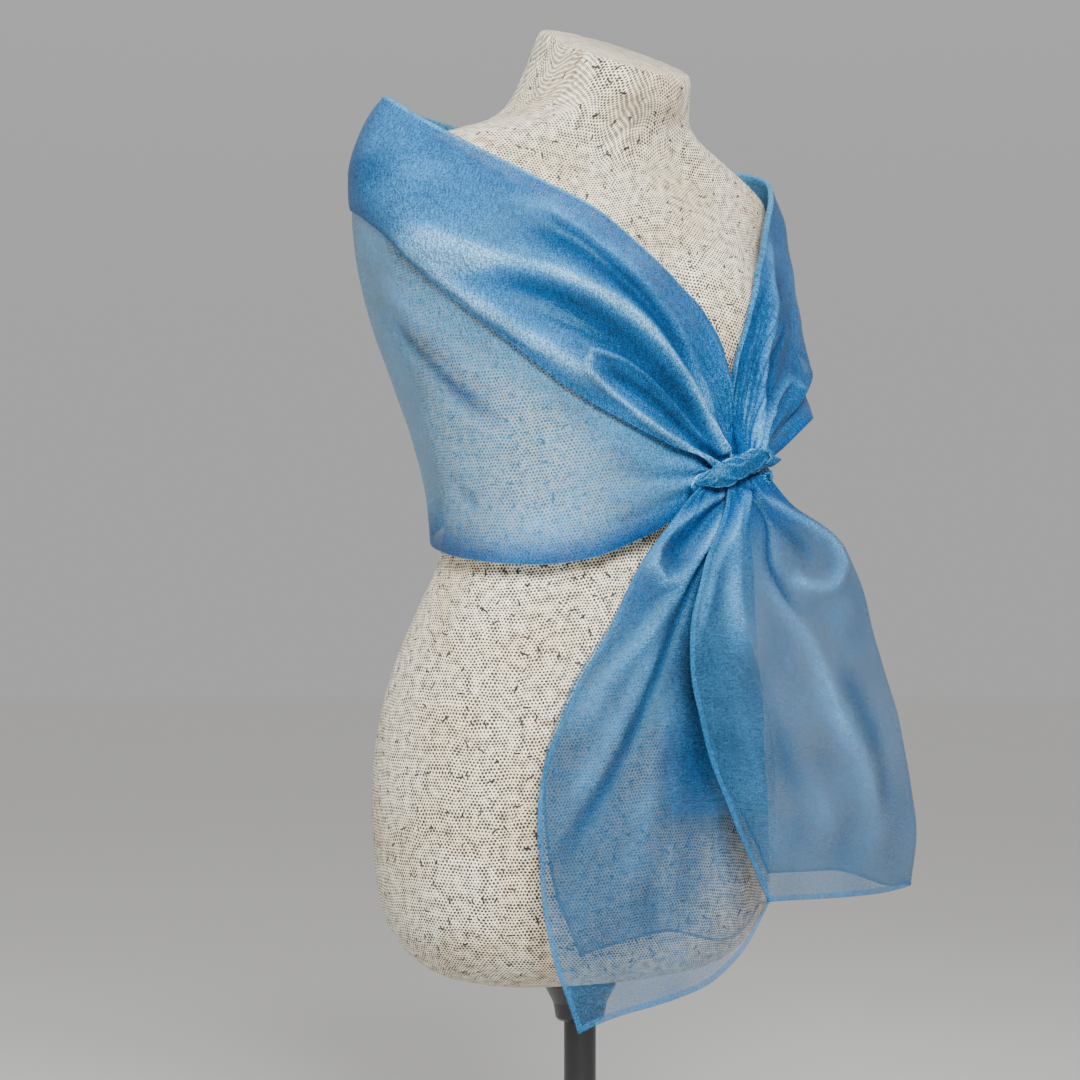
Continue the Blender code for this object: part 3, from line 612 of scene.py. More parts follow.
def form_cover_surface(settings):
    """Ivory cover cloth with a net of dark dots, short dark slits and small pale lumps."""
    surface = Surface("form_cover_cloth", {"Sheen Weight": 0.15, "Sheen Roughness": 0.5})
    across, down, _ = surface.parts(surface.map_place("cover"))
    place = surface.joined(across, down, 0.0)
    drift = surface.parts(surface.noise(place, "2D", "Color", scale=38.0, detail=2.0))
    across_here = across + (drift[0] - 0.5) * DOT_DRIFT
    down_here = down + (drift[1] - 0.5) * DOT_DRIFT
    size = surface.noise(place, "2D", scale=150.0, detail=3.0)
    radius = settings.dot_radius * (0.35 + size * 1.3)
    dots = dot_net(surface, across_here, down_here, settings.dot_pitch, radius)
    cuts = surface.maths("MAXIMUM", slits(surface, across, down, SLIT_CELLS[0]),
                         slits(surface, across + 0.31, down + 0.17, SLIT_CELLS[1]))
    lumps = surface.texture("ShaderNodeTexVoronoi", {"voronoi_dimensions": "2D"}, place, "Distance",
                            scale=62.0)
    lump = 1 - surface.step(lumps, 0.06, 0.22)
    cloud = surface.noise(place, "2D", scale=16.0, detail=4.0)
    shade = tuple(share * channel for share, channel in zip(SHADED_SHARES, settings.cover_colour))
    pale = tuple(min(1.0, PALE_SHARE * channel) for channel in settings.cover_colour)
    base = surface.mix(surface.step(cloud, 0.35, 0.65), colour4(shade), colour4(settings.cover_colour))
    base = surface.mix(lump * 0.8, base, colour4(pale))
    dark = surface.maths("MAXIMUM", dots * 0.97, cuts)
    surface.feed("Base Color", surface.mix(dark, base, colour4(settings.dot_colour)))
    surface.feed("Roughness", 0.72 + cloud * 0.12)
    surface.relief(lump * 0.7 - dots * 0.5 - cuts + cloud * 0.5, 0.6, 0.0008)
    return surface.material


def organza_surface(name, settings, thin_colour, thick_colour):
    """Sheer shimmering organza: glossy threads, painted shade deep blue in the folds' troughs, painted light
    on the raised folds, painted glints on the crests and over the grain, and how much it hides.
    """
    surface = Surface(name, {"Sheen Weight": 0.04, "Sheen Roughness": 0.3, "Specular IOR Level": 0.34,
                             "Specular Tint": (0.30, 0.80, 1.0, 1.0), "Sheen Tint": (0.45, 0.75, 1.0, 1.0)})
    length, width, _ = surface.parts(surface.map_place("cloth"))
    slub = surface.noise(surface.joined(length * 900.0, width * 130.0, 0.0), "2D", scale=1.0, detail=2.0)
    grain = surface.noise(surface.object_place(), "3D", scale=950.0, detail=1.0)
    cloud = surface.noise(surface.object_place(), "3D", scale=22.0, detail=3.0)
    fold, cover, layers = (surface.own_value(name) for name in ("fold", "cover", "layers"))
    flat = surface.mix(layers, colour4(thin_colour), colour4(thick_colour))
    # Painted shade: where the fold value is low, in troughs and shaded folds, the colour is mixed towards the
    # deep blue.
    deep = surface.mix(surface.step(fold, -1.0, 0.1), colour4(settings.painted_shade_colour), flat)
    # Painted light: where the fold value is high, on raised folds, the colour is mixed towards the lit blue.
    base = surface.mix(surface.step(fold, -0.15, 1.0), deep, colour4(settings.painted_light_colour))
    watered = surface.noise(surface.joined(length * 38.0, width * 210.0, 0.0), "2D", scale=1.0, detail=2.0,
                            distortion=1.5)
    # The grain sets both how much the threads hide and where glints are painted into the colour.
    grain_and_painted_glint = surface.step(grain * 0.55 + slub * 0.25 + cloud * 0.2, 0.38, 0.64)
    # Painted highlight: a pale glint mixed in on the ridges' crests, broken up by the grain.
    painted_crest_glint = surface.step(fold, 0.55, 1.15) * (0.35 + grain_and_painted_glint * 0.65)
    base = surface.mix(painted_crest_glint, base, colour4(settings.painted_glint_colour))
    # Painted glints over the grain brighten the base colour, together with the cloth's watered pattern.
    painted_glints_and_watering = 0.42 + grain_and_painted_glint * 0.72 + watered * 0.36
    base_with_painted_glints = surface.node("ShaderNodeVectorMath", {"operation": "SCALE"}, {0: base, "Scale": painted_glints_and_watering})
    surface.feed("Base Color", Amount(surface, base_with_painted_glints.outputs[0]))
    surface.feed("Roughness", 0.22 + grain * 0.28)
    surface.feed("Alpha", surface.maths("MINIMUM", cover * (0.70 + grain_and_painted_glint * 0.60), 1.0))
    surface.relief(grain * 0.6 + slub * 0.6, 1.0, 0.0005)
    return surface.material


def stand_surface():
    """Satin black paint with a faint orange-peel and lighter rubbed patches."""
    surface = Surface("stand_black_paint", {"Coat Weight": 0.15, "Coat Roughness": 0.2})
    peel = surface.noise(surface.object_place(), "3D", scale=420.0, detail=2.0)
    rubbed = surface.noise(surface.object_place(), "3D", scale=26.0, detail=5.0)
    wear = surface.step(rubbed, 0.62, 0.74)
    black = (0.018, 0.018, 0.019, 1.0)
    worn = (0.055, 0.054, 0.052, 1.0)
    surface.feed("Base Color", surface.mix(wear * 0.5, black, worn))
    surface.feed("Roughness", 0.36 + wear * 0.2 + peel * 0.08)
    surface.relief(peel, 0.12, 0.0003)
    return surface.material


def floor_surface(settings):
    surface = Surface("studio_floor", {"Roughness": 0.9})
    cloud = surface.noise(surface.object_place(), "3D", scale=1.5, detail=2.0)
    darker = tuple(0.98 * channel for channel in settings.floor_colour)
    surface.feed("Base Color", surface.mix(cloud, colour4(darker), colour4(settings.floor_colour)))
    return surface.material


def smooth_curve(keys, values, at):
    """Values on a smooth curve through the given keys and values."""
    keys = np.array(keys, float)
    values = np.array(values, float)
    slopes = np.gradient(values, keys)
    at = np.clip(at, keys[0], keys[-1])
    row = np.clip(np.searchsorted(keys, at, side="right") - 1, 0, len(keys) - 2)
    span = keys[row + 1] - keys[row]
    share = (at - keys[row]) / span
    start = (1 + 2 * share) * (1 - share) ** 2 * values[row]
    start_slope = share * (1 - share) ** 2 * span * slopes[row]
    end = share ** 2 * (3 - 2 * share) * values[row + 1]
    end_slope = share ** 2 * (share - 1) * span * slopes[row + 1]
    return start + start_slope + end + end_slope


def smooth_column(rows, key, column, at):
    """Values of a table's column, on a smooth curve through its rows."""
    return smooth_curve([getattr(row, key) for row in rows], [getattr(row, column) for row in rows], at)


def smooth_rows(rows, share):
    """Every column of a table, on smooth curves at shares of the way through its rows."""
    steps = np.linspace(0, 1, len(rows))
    return {name: smooth_curve(steps, [getattr(row, name) for row in rows], share)
            for name in rows[0]._fields}


def wrap_size(name, angle):
    """A size of the under layer at angles round the form, in metres."""
    return smooth_column(WRAP_ROWS, "angle", name, angle) * MM


def turn_size(name, angle):
    """A size of the turned-over layer at angles round the form, in metres."""
    return smooth_column(TURN_ROWS, "angle", name, angle) * MM


def running_length(steps):
    """The length gone at each point of a path, from the lengths of its steps."""
    return np.concatenate([[0.0], np.cumsum(steps)])


def ease(share):
    """A smooth step from 0 to 1."""
    share = np.clip(share, 0.0, 1.0)
    return share * share * (3 - 2 * share)


def form_radius(angle, height):
    """Distance from the form's axis to its surface; angle in degrees, height above its underside."""
    level = np.clip(height / MM, FORM_RINGS[0].height, FORM_RINGS[-1].height)
    half_width, front, back = (smooth_column(FORM_RINGS, "height", name, level) * MM
                               for name in ("half_width", "front", "back"))
    turn = np.radians(angle)
    depth = np.where(np.cos(turn) > 0, front, back)
    side = np.abs(np.sin(turn)) / half_width
    face = np.abs(np.cos(turn)) / depth
    radius = (side ** FORM_POWER + face ** FORM_POWER) ** (-1 / FORM_POWER)
    off_front = np.abs((angle + 180.0) % 360.0 - 180.0)
    across = (off_front - BUST_ANGLE) / BUST_SPREAD
    rise = (height - BUST_HEIGHT) / BUST_REACH
    return radius + BUST_RISE * np.exp(-across ** 2 - rise ** 2)


def around(angle, radius, height):
    """Points at angles round the form, at distances from its axis and heights above the floor."""
    turn = np.radians(angle)
    return np.stack([-radius * np.sin(turn), -radius * np.cos(turn), height + 0 * turn], axis=-1)


def on_the_form(angle, radius, height):
    """The radius, kept just outside the form with a soft change where the cloth starts to lie on it."""
    seat = np.exp(-((angle - 180.0) / SEAT_SPREAD) ** 2 - ((height - SEAT_HEIGHT) / SEAT_REACH) ** 2)
    least = form_radius(angle, height - STAND_HEIGHT) + FORM_CLEARANCE - SEAT_SINK * seat
    return 0.5 * (radius + least + np.sqrt((radius - least) ** 2 + CLOTH_ROUNDING ** 2))


def crease_path(places):
    """Points along a smooth curve through a crease's few places."""
    places = np.array(places, float)
    steps = running_length(np.linalg.norm(np.diff(places, axis=0), axis=1))
    at = np.linspace(0, steps[-1], CREASE_STEPS)
    return np.stack([smooth_curve(steps, places[:, 0], at), smooth_curve(steps, places[:, 1], at)], axis=-1)


def crease_relief(places, creases, across_scale):
    """Height in metres that the creases add at places on a sheet."""
    relief = np.zeros(places.shape[:-1])
    flat = places * np.array([across_scale, 1.0])
    for crease in creases:
        path = crease_path(np.array(crease.places) * np.array([across_scale, 1.0]))
        nearest = np.full(relief.shape, np.inf)
        along = np.zeros(relief.shape)
        for step in range(len(path) - 1):
            span = path[step + 1] - path[step]
            share = np.clip((flat - path[step]) @ span / (span @ span), 0, 1)
            gap = np.linalg.norm(flat - path[step] - share[..., None] * span, axis=-1)
            closer = gap < nearest
            nearest = np.where(closer, gap, nearest)
            along = np.where(closer, (step + share) / (len(path) - 1), along)
        width = crease.width + (crease.knot_width - crease.width) * along
        height = crease.rise * MM * np.exp(-(nearest / width) ** 2)
        if crease.fade:
            height = height * ease(along / crease.fade)
        if crease.knot_fade:
            height = height * ease((1 - along) / crease.knot_fade)
        relief += height
    return relief


def rough_field(places, scale, seed):
    """A smooth uneven field between about -0.5 and 0.5 over places on a sheet."""
    flat = places.reshape(-1, places.shape[-1]) * scale
    values = [noise.noise(Vector((x, y, seed))) for x, y in flat]
    return np.array(values).reshape(places.shape[:-1])


def wrap_places(angle, height):
    return np.stack([angle + 0 * height, height / MM], axis=-1)


def under_layer(angle, share):
    """Angle, radius and height on the under layer, from its lower edge (0) to its top fold (1)."""
    low, top, *radii = (wrap_size(name, angle)
                        for name in ("low", "top", "r_low", "r_third", "r_high", "r_top"))
    knots = (0.0, 1 / 3, 2 / 3, 1.0)
    radius = 0.0
    for own, value in enumerate(radii):
        weight = 1.0
        for other, knot in enumerate(knots):
            if other != own:
                weight = weight * (share - knot) / (knots[own] - knot)
        radius = radius + weight * value
    height = low + (top - low) * share
    leaning = angle + smooth_column(WRAP_ROWS, "angle", "lean", angle) * share ** 2
    return leaning, radius, height


def gathers(angle, share, height, seed):
    """Fine uneven pleats that fan out of the knot and fade away from it."""
    off_knot = np.minimum(angle - RIGHT_END, LEFT_END - angle)
    fading = np.exp(-off_knot / GATHER_REACH)
    drift = rough_field(np.stack([angle * 0.03, share * 3.0], axis=-1), scale=1.0, seed=seed)
    waves = np.cos(share * 2 * math.pi * COARSE_PLEATS + drift * 7.0)
    waves = waves + 0.6 * np.cos(share * 2 * math.pi * FINE_PLEATS + drift * 11.0 + 1.3)
    return height * waves * fading


def creased_under(angle, share, settings):
    """The under layer with its creases, kept clear of the form."""
    leaning, radius, height = under_layer(angle, share)
    places = wrap_places(leaning, height)
    radius = on_the_form(leaning, radius, height)
    relief = crease_relief(places, UNDER_CREASES, DEGREE_WIDTH)
    relief = relief + UNEVEN_UNDER * rough_field(places, scale=0.045, seed=3.0)
    relief = relief + gathers(angle, share, settings.gather_height * UNDER_GATHER_SHARE, seed=5.0)
    return leaning, np.maximum(radius + relief, radius - LEAST_UNDER_GAP), height, relief


def creased_turned(angle, share, settings):
    """The turned-over layer with its creases, kept clear of the under layer."""
    low = wrap_size("low", angle)
    top = wrap_size("top", angle)
    edge = turn_size("edge", angle)
    height = edge + (top - edge) * share
    leaning, below, _, _ = creased_under(angle, np.clip((height - low) / (top - low), 0, 1), settings)
    at_edge = turn_size("lift_edge", angle)
    at_edge = at_edge * (1 - EDGE_DIP * np.exp(-((angle - EDGE_DIP_ANGLE) / EDGE_DIP_SPREAD) ** 2))
    at_mid = turn_size("lift_mid", angle)
    at_top = turn_size("lift_top", angle)
    lift = at_edge * (1 - share) + at_top * share
    lift = lift + (at_mid - (at_edge + at_top) / 2) * 4 * share * (1 - share)
    places = wrap_places(leaning, height)
    relief = crease_relief(places, TURNED_CREASES, DEGREE_WIDTH)
    relief = relief + UNEVEN_TURNED * rough_field(places, scale=0.04, seed=9.0)
    relief = relief + gathers(angle, share, settings.gather_height, seed=11.0)
    free = ease(share / EDGE_HOLD) * ease((1 - share) / TOP_HOLD)
    held = free * (1 - LEAST_CREASE) + LEAST_CREASE
    return leaning, below + np.maximum(lift + relief * held, LEAST_TURNED_GAP), height, relief


def bend(start, end, outward, points):
    """Points of a half circle from start to end that swings outward."""
    middle = (start + end) / 2
    half = (start - end) / 2
    reach = np.linalg.norm(half, axis=-1, keepdims=True) * outward
    turns = np.linspace(0, math.pi, points + 2)[1:-1]
    return [middle + half * math.cos(turn) + reach * math.sin(turn) for turn in turns]


def fold_looks(cover, relief):
    """How much a sheet hides, more in its troughs as painted shade, and its folds from -1 in a trough to 1 on
    a ridge, which the material turns into painted shade and painted light.
    """
    fold = np.clip(relief / FOLD_HEIGHT, -1.0, 1.0)
    return cover + (1 - cover) * TROUGH_COVER * np.maximum(-fold, 0), fold


def wrap_sheet(settings):
    """Grid of the whole wrap, its cloth coordinates, and its cover, folds and layers at each point."""
    right = RIGHT_END + (RIGHT_BEND - RIGHT_END) * np.linspace(0, 1, RIGHT_COLUMNS) ** POINT_CROWDING
    back = np.linspace(RIGHT_BEND, LEFT_BEND, BACK_COLUMNS)[1:-1]
    left = LEFT_END - (LEFT_END - LEFT_BEND) * np.linspace(1, 0, LEFT_COLUMNS) ** POINT_CROWDING
    angles = np.concatenate([right, back, left])[:, None]
    low = wrap_size("low", angles)
    top = wrap_size("top", angles)
    edge = turn_size("edge", angles)

    under_share = np.linspace(0, 1, UNDER_POINTS)[None, :] + 0 * angles
    turned_share = np.linspace(1, 0, TURNED_POINTS)[None, :] + 0 * angles
    under = creased_under(angles + 0 * under_share, under_share, settings)
    turned = creased_turned(angles + 0 * turned_share, turned_share, settings)
    under_points = around(*under[:3])
    turned_points = around(*turned[:3])

    depth = np.linspace(1, 0, RETURN_POINTS)[None, :] + 0 * angles
    reach = np.minimum(TUCK_DEPTH, (top - low) * 0.3)
    inner = creased_under(angles + 0 * depth, depth * reach / (top - low), settings)
    tuck = around(inner[0], inner[1] - TUCK_GAP - TUCK_GAP_SPREAD * depth, inner[2])
    reach = np.minimum(RETURN_DEPTH, (top - edge) * 0.2)
    outer = creased_turned(angles + 0 * depth, depth * reach / (top - edge), settings)
    return_turned = around(outer[0], outer[1] - RETURN_GAP, outer[2])[:, ::-1]

    down = np.array([0.0, 0.0, -1.0])
    bottom = bend(tuck[:, -1], under_points[:, 0], down, FOLD_POINTS)
    crown = bend(under_points[:, -1], turned_points[:, 0], -down, FOLD_POINTS)
    rim = bend(turned_points[:, -1], return_turned[:, 0], down, FOLD_POINTS)
    grid = np.concatenate([tuck, np.stack(bottom, 1), under_points, np.stack(crown, 1), turned_points,
                           np.stack(rim, 1), return_turned], axis=1)

    start = RETURN_POINTS + FOLD_POINTS
    end = start + UNDER_POINTS
    under_part = slice(start, end)
    under_gather = np.clip(PLAIN_UNDER / (top - low), LEAST_GATHER, MOST_WRAP_GATHER)
    turned_gather = np.clip(PLAIN_TURNED / (top - edge), LEAST_GATHER, MOST_WRAP_GATHER)
    gather = np.concatenate([np.repeat(under_gather, end, axis=1),
                             np.repeat(turned_gather, grid.shape[1] - end, axis=1)], axis=1)
    denser = np.ones(gather.shape)
    denser[:, end:] = TURNED_DENSITY
    cover = 1 - (1 - settings.layer_cover) ** (gather * denser / 2)
    cover[:, :RETURN_POINTS] *= np.linspace(TUCK_COVER, 1, RETURN_POINTS)
    off_knot = np.minimum(angles - RIGHT_END, LEFT_END - angles)
    near_knot = np.exp(-off_knot / KNOT_REACH)
    at_foot = np.exp(-((under[2] - low) / FOOT_BAND) ** 2)
    # Painted pool of light: round LIT_ANGLE and LIT_HEIGHT the under layer hides less, so the pale form shows
    # brighter.
    off_light = ((angles - LIT_ANGLE) / LIT_SPREAD) ** 2 + ((under[2] - LIT_HEIGHT) / LIT_REACH) ** 2
    clearance = under[1] - form_radius(under[0], under[2] - STAND_HEIGHT)
    cover[:, under_part] *= 1 - TOUCHING_LOSS * np.exp(-(clearance / TOUCHING_REACH) ** 2)
    cover[:, under_part] *= 1 - LIT_LOSS * np.exp(-off_light)
    # The foot band hides more, partly for the cloth turned under it and partly as painted shadow; near the
    # knot it hides more too.
    deeper = np.maximum(FOOT_DEPTH * at_foot, KNOT_DEPTH * near_knot)
    cover[:, under_part] += (1 - cover[:, under_part]) * deeper
    turned_start = end + FOLD_POINTS
    fold = np.zeros(gather.shape)
    fold[:, under_part] = under[3]
    fold[:, turned_start:turned_start + TURNED_POINTS] = turned[3]
    cover, fold = fold_looks(cover, fold)
    # Painted shade: the fold value is lowered round the knot and on the left front, so the material paints
    # them deeper blue.
    left_shade = LEFT_SHADE * ease((angles - LEFT_SHADE_START) / LEFT_SHADE_SPREAD)
    fold = fold - KNOT_SHADE * near_knot - left_shade
    layers = ease((gather - 1.15) / 2.0)
    layers[:, under_part] = np.maximum(layers[:, under_part], np.maximum(at_foot, near_knot))
    layers[:, turned_start:] = np.maximum(layers[:, turned_start:], TURNED_LAYERS)
    length = np.radians(angles) * WRAP_MAP_RADIUS + 0 * gather
    step = np.linalg.norm(np.diff(grid[RIGHT_COLUMNS // 2], axis=0), axis=1)
    width = running_length(step)[None, :] + 0 * gather
    return grid, np.stack([length, width], axis=-1), cover, fold, layers


def tail_layer(shape, across, along, shorter, sink, crease_share):
    """Points of one layer of a tail, at shares across it and along it."""
    values = {name: value * MM for name, value in smooth_rows(shape.rows, along).items()}
    side = values["left"] + (values["right"] - values["left"]) * across
    drop = values["left_drop"] + (values["right_drop"] - values["left_drop"]) * across
    sag = across ** 2 * (1 - across) / (HEM_SAG_PLACE ** 2 * (1 - HEM_SAG_PLACE))
    drop = drop + (shape.hem_sag * sag - shorter) * along ** 2
    forward = values["left_y"] + (values["right_y"] - values["left_y"]) * across
    forward = forward + values["bow"] * 4 * across * (1 - across)
    places = np.stack([side, drop], axis=-1) / MM
    relief = crease_relief(places, shape.creases, 1.0)
    relief = relief + UNEVEN_TAIL * rough_field(places, scale=0.03, seed=17.0)
    drift = rough_field(np.stack([across * 4, along * 3], axis=-1), scale=1.0, seed=21.0)
    pleats = np.cos(across * 2 * math.pi * TAIL_PLEATS + drift * 6) * np.exp(-along * TAIL_PLEAT_FADE)
    relief = relief + TAIL_PLEAT_HEIGHT * pleats
    forward = forward + relief * crease_share
    return np.stack([KNOT_PLACE[0] + side, -(forward - sink), KNOT_PLACE[2] - drop], axis=-1), relief


def tail_sheet(shape, settings):
    """Grid of a folded tail from its free left edge round the right fold and across the back layer."""
    along = np.linspace(0, 1, TAIL_LENGTH_POINTS)[:, None] ** TAIL_CROWDING
    across = np.linspace(0, 1, TAIL_FRONT_POINTS)[None, :]
    front, front_relief = tail_layer(shape, across + 0 * along, along + 0 * across, 0.0, 0.0, 1.0)
    inner = np.linspace(1, BACK_LAYER_INSET, TAIL_BACK_POINTS)[None, :]
    gap = LAYER_GAP_AT_KNOT + (LAYER_GAP_AT_HEM - LAYER_GAP_AT_KNOT) * along
    turn = ease((1 - inner) / BACK_LAYER_TURN)
    back, back_relief = tail_layer(shape, inner + 0 * along, along + 0 * inner, shape.back_shorter * turn,
                                   gap, BACK_CREASE_SHARE)
    right = np.array([1.0, 0.0, 0.0])
    fold = np.stack(bend(front[:, -1], back[:, 0], right, FOLD_POINTS), 1)
    grid = np.concatenate([front, fold, back], axis=1)
    width = np.linalg.norm(np.diff(grid, axis=1), axis=2).sum(axis=1, keepdims=True)
    plain = width.max()
    gather = np.clip(plain / width, LEAST_GATHER, MOST_TAIL_GATHER) + np.zeros(grid.shape[:2])
    cover = 1 - (1 - settings.layer_cover) ** (gather / 2)
    off_fold = np.abs(np.arange(grid.shape[1]) - TAIL_FRONT_POINTS - FOLD_POINTS / 2)
    at_fold = np.exp(-(off_fold / SOFT_FOLD_REACH) ** 2) * ease((along - 0.2) / 0.3)
    cover = cover * (1 - shape.soft_fold * at_fold)
    middle = np.zeros((grid.shape[0], FOLD_POINTS))
    relief = np.concatenate([front_relief, middle, back_relief], axis=1)
    cover, fold = fold_looks(cover, relief * TAIL_FOLD_SHARE)
    # Painted shade: the fold value is lowered near the knot, so the material paints the tail deeper blue
    # there.
    fold = fold - TAIL_KNOT_SHADE * np.exp(-along / TAIL_KNOT_REACH)
    layers = LEAST_TAIL_LAYERS + (1 - LEAST_TAIL_LAYERS) * ease((gather - 1.1) / 1.4)
    side = (grid[..., 0] - KNOT_PLACE[0]) / MM
    drop = (KNOT_PLACE[2] - grid[..., 2]) / MM
    doubled = ease((side - shape.patch_side) / PATCH_EDGE) * ease((shape.patch_drop - drop) / PATCH_EDGE)
    doubled = doubled * ease((drop - shape.patch_drop + PATCH_HEIGHT) / PATCH_FADE)
    cover = cover + (1 - cover) * PATCH_COVER * doubled
    layers = np.maximum(layers, PATCH_LAYERS * doubled)
    share = np.linspace(0, 1, grid.shape[1])[None, :] + 0 * along
    length = along * TAIL_MAP_LENGTH + 0 * share
    return grid, np.stack([length, share * plain], axis=-1), cover, fold, layers


def scene_object(name, data):
    """A new object in the scene."""
    item = bpy.data.objects.new(name, data)
    bpy.context.scene.collection.objects.link(item)
    return item


def ring_faces(count, sides):
    """Faces between rings of equal length, and one on the first and the last ring."""
    index = np.arange(count * sides).reshape(count, sides)
    following = np.roll(index, -1, axis=1)
    faces = np.stack([index[:-1], following[:-1], following[1:], index[1:]], axis=-1).reshape(-1, 4)
    return [*faces.tolist(), index[0, ::-1].tolist(), index[-1].tolist()]


def face_outward(mesh):
    """Turns a mesh's faces outwards and shades it smooth."""
    shape = bmesh.new()
    shape.from_mesh(mesh)
    bmesh.ops.recalc_face_normals(shape, faces=shape.faces)
    shape.to_mesh(mesh)
    shape.free()
    mesh.shade_smooth()


def cloth_mesh(name, points, faces, cloth, material, **values):
    """A mesh with its cloth coordinates, and under their names the values that its material reads."""
    mesh = bpy.data.meshes.new(name)
    mesh.from_pydata(points.reshape(-1, 3).tolist(), [], faces)
    layer = mesh.uv_layers.new(name="cloth")
    corners = np.zeros(len(mesh.loops), int)
    mesh.loops.foreach_get("vertex_index", corners)
    layer.data.foreach_set("uv", cloth.reshape(-1, 2)[corners].ravel())
    for key, value in values.items():
        layer = mesh.attributes.new(key, "FLOAT", "POINT")
        layer.data.foreach_set("value", np.asarray(value, np.float32).ravel())
    mesh.materials.append(material)
    return mesh


def sheet_object(name, grid, cloth, cover, fold, layers, material, thickness):
    """A thin closed cloth shell over a grid, with its cloth coordinates and cover."""
    rows, columns = grid.shape[:2]
    index = np.arange(rows * columns).reshape(rows, columns)
    faces = np.stack([index[:-1, :-1], index[1:, :-1], index[1:, 1:], index[:-1, 1:]], axis=-1).reshape(-1, 4)
    mesh = cloth_mesh(name, grid, faces.tolist(), cloth, material, cover=cover, fold=fold, layers=layers)
    item = scene_object(name, mesh)
    wall = item.modifiers.new("cloth_thickness", "SOLIDIFY")
    wall.thickness = thickness
    wall.offset = 0.0
    wall.use_even_offset = False
    return item


def plain_copy(item):
    """The piece with its modifiers made into a plain mesh whose faces point outwards."""
    evaluated = item.evaluated_get(bpy.context.evaluated_depsgraph_get())
    mesh = bpy.data.meshes.new_from_object(evaluated)
    item.modifiers.clear()
    old = item.data
    item.data = mesh
    bpy.data.meshes.remove(old)
    face_outward(mesh)
    return item


def hem_strip(name, edge, inner, material, cover, width):
    """A narrow folded hem: a thicker strip along an edge, towards the inner path."""
    inward = inner - edge
    inward /= np.maximum(np.linalg.norm(inward, axis=-1, keepdims=True), 1e-9)
    grid = edge[:, None] + inward[:, None] * HEM_SHARES[None, :, None] * width
    length = running_length(np.linalg.norm(np.diff(edge, axis=0), axis=1))[:, None]
    cloth = np.stack([length + 0 * HEM_SHARES, HEM_SHARES * width + 0 * length], axis=-1)
    values = np.full(grid.shape[:2], cover)
    strip = sheet_object(name, grid, cloth, values, 0 * values, 0 * values, material, HEM_THICKNESS)
    stitch_path = edge + inward * width * STITCH_SHARE
    return plain_copy(strip), stitch_path


def stitch_tree(settings, thread):
    """Node tree that lays short thread stitches along the path of its input mesh."""
    tree = bpy.data.node_groups.new("stitches_along_path", "GeometryNodeTree")
    interface = tree.interface
    interface.new_socket("Path", in_out="INPUT", socket_type="NodeSocketGeometry")
    sizes = {}
    for name, size in (("Stitch Pitch", settings.stitch_pitch), ("Stitch Length", settings.stitch_length),
                       ("Thread Radius", settings.thread_diameter / 2)):
        socket = interface.new_socket(name, in_out="INPUT", socket_type="NodeSocketFloat")
        sizes[socket.identifier] = size
    interface.new_socket("Stitches", in_out="OUTPUT", socket_type="NodeSocketGeometry")
    nodes = tree.nodes
    entry = nodes.new("NodeGroupInput")
    leave = nodes.new("NodeGroupOutput")
    curve = nodes.new("GeometryNodeMeshToCurve")
    spread = nodes.new("GeometryNodeCurveToPoints")
    spread.mode = "LENGTH"
    stitch = nodes.new("GeometryNodeMeshCylinder")
    stitch.inputs["Vertices"].default_value = 6
    aligned = nodes.new("FunctionNodeAlignRotationToVector")
    aligned.axis = "Z"
    placed = nodes.new("GeometryNodeInstanceOnPoints")
    made = nodes.new("GeometryNodeRealizeInstances")
    finish = nodes.new("GeometryNodeSetMaterial")
    finish.inputs["Material"].default_value = thread
    for source, output, target, entrance in (
            (entry, "Path", curve, "Mesh"),
            (curve, "Curve", spread, "Curve"),
            (entry, "Stitch Pitch", spread, "Length"),
            (entry, "Thread Radius", stitch, "Radius"),
            (entry, "Stitch Length", stitch, "Depth"),
            (spread, "Tangent", aligned, "Vector"),
            (spread, "Points", placed, "Points"),
            (stitch, "Mesh", placed, "Instance"),
            (aligned, "Rotation", placed, "Rotation"),
            (placed, "Instances", made, "Geometry"),
            (made, "Geometry", finish, "Geometry"),
            (finish, "Geometry", leave, "Stitches")):
        tree.links.new(source.outputs[output], target.inputs[entrance])
    return tree, sizes


def stitches(name, path, settings, thread):
    """A row of hem stitches along a path, as a plain mesh."""
    mesh = bpy.data.meshes.new(name)
    mesh.from_pydata(path.tolist(), [(step, step + 1) for step in range(len(path) - 1)], [])
    item = scene_object(name, mesh)
    tree, sizes = stitch_tree(settings, thread)
    modifier = item.modifiers.new("stitches", "NODES")
    modifier.node_group = tree
    for identifier, value in sizes.items():
        modifier[identifier] = value
    return plain_copy(item)


def tube_object(name, rings, fold, material, cover, cloth_width):
    """A closed body through rings of equal length, with cloth coordinates along and round it."""
    rings = np.array(rings)
    count, sides = rings.shape[:2]
    length = running_length(np.linalg.norm(np.diff(rings.mean(axis=1), axis=0), axis=1))[:, None]
    round_it = cloth_width * np.arange(sides) / sides
    cloth = np.stack([length + 0 * round_it, round_it + 0 * length], axis=-1)
    ones = np.ones((count, sides))
    mesh = cloth_mesh(name, rings, ring_faces(count, sides), cloth, material,
                      cover=cover * ones, fold=fold, layers=ones)
    face_outward(mesh)
    return scene_object(name, mesh)


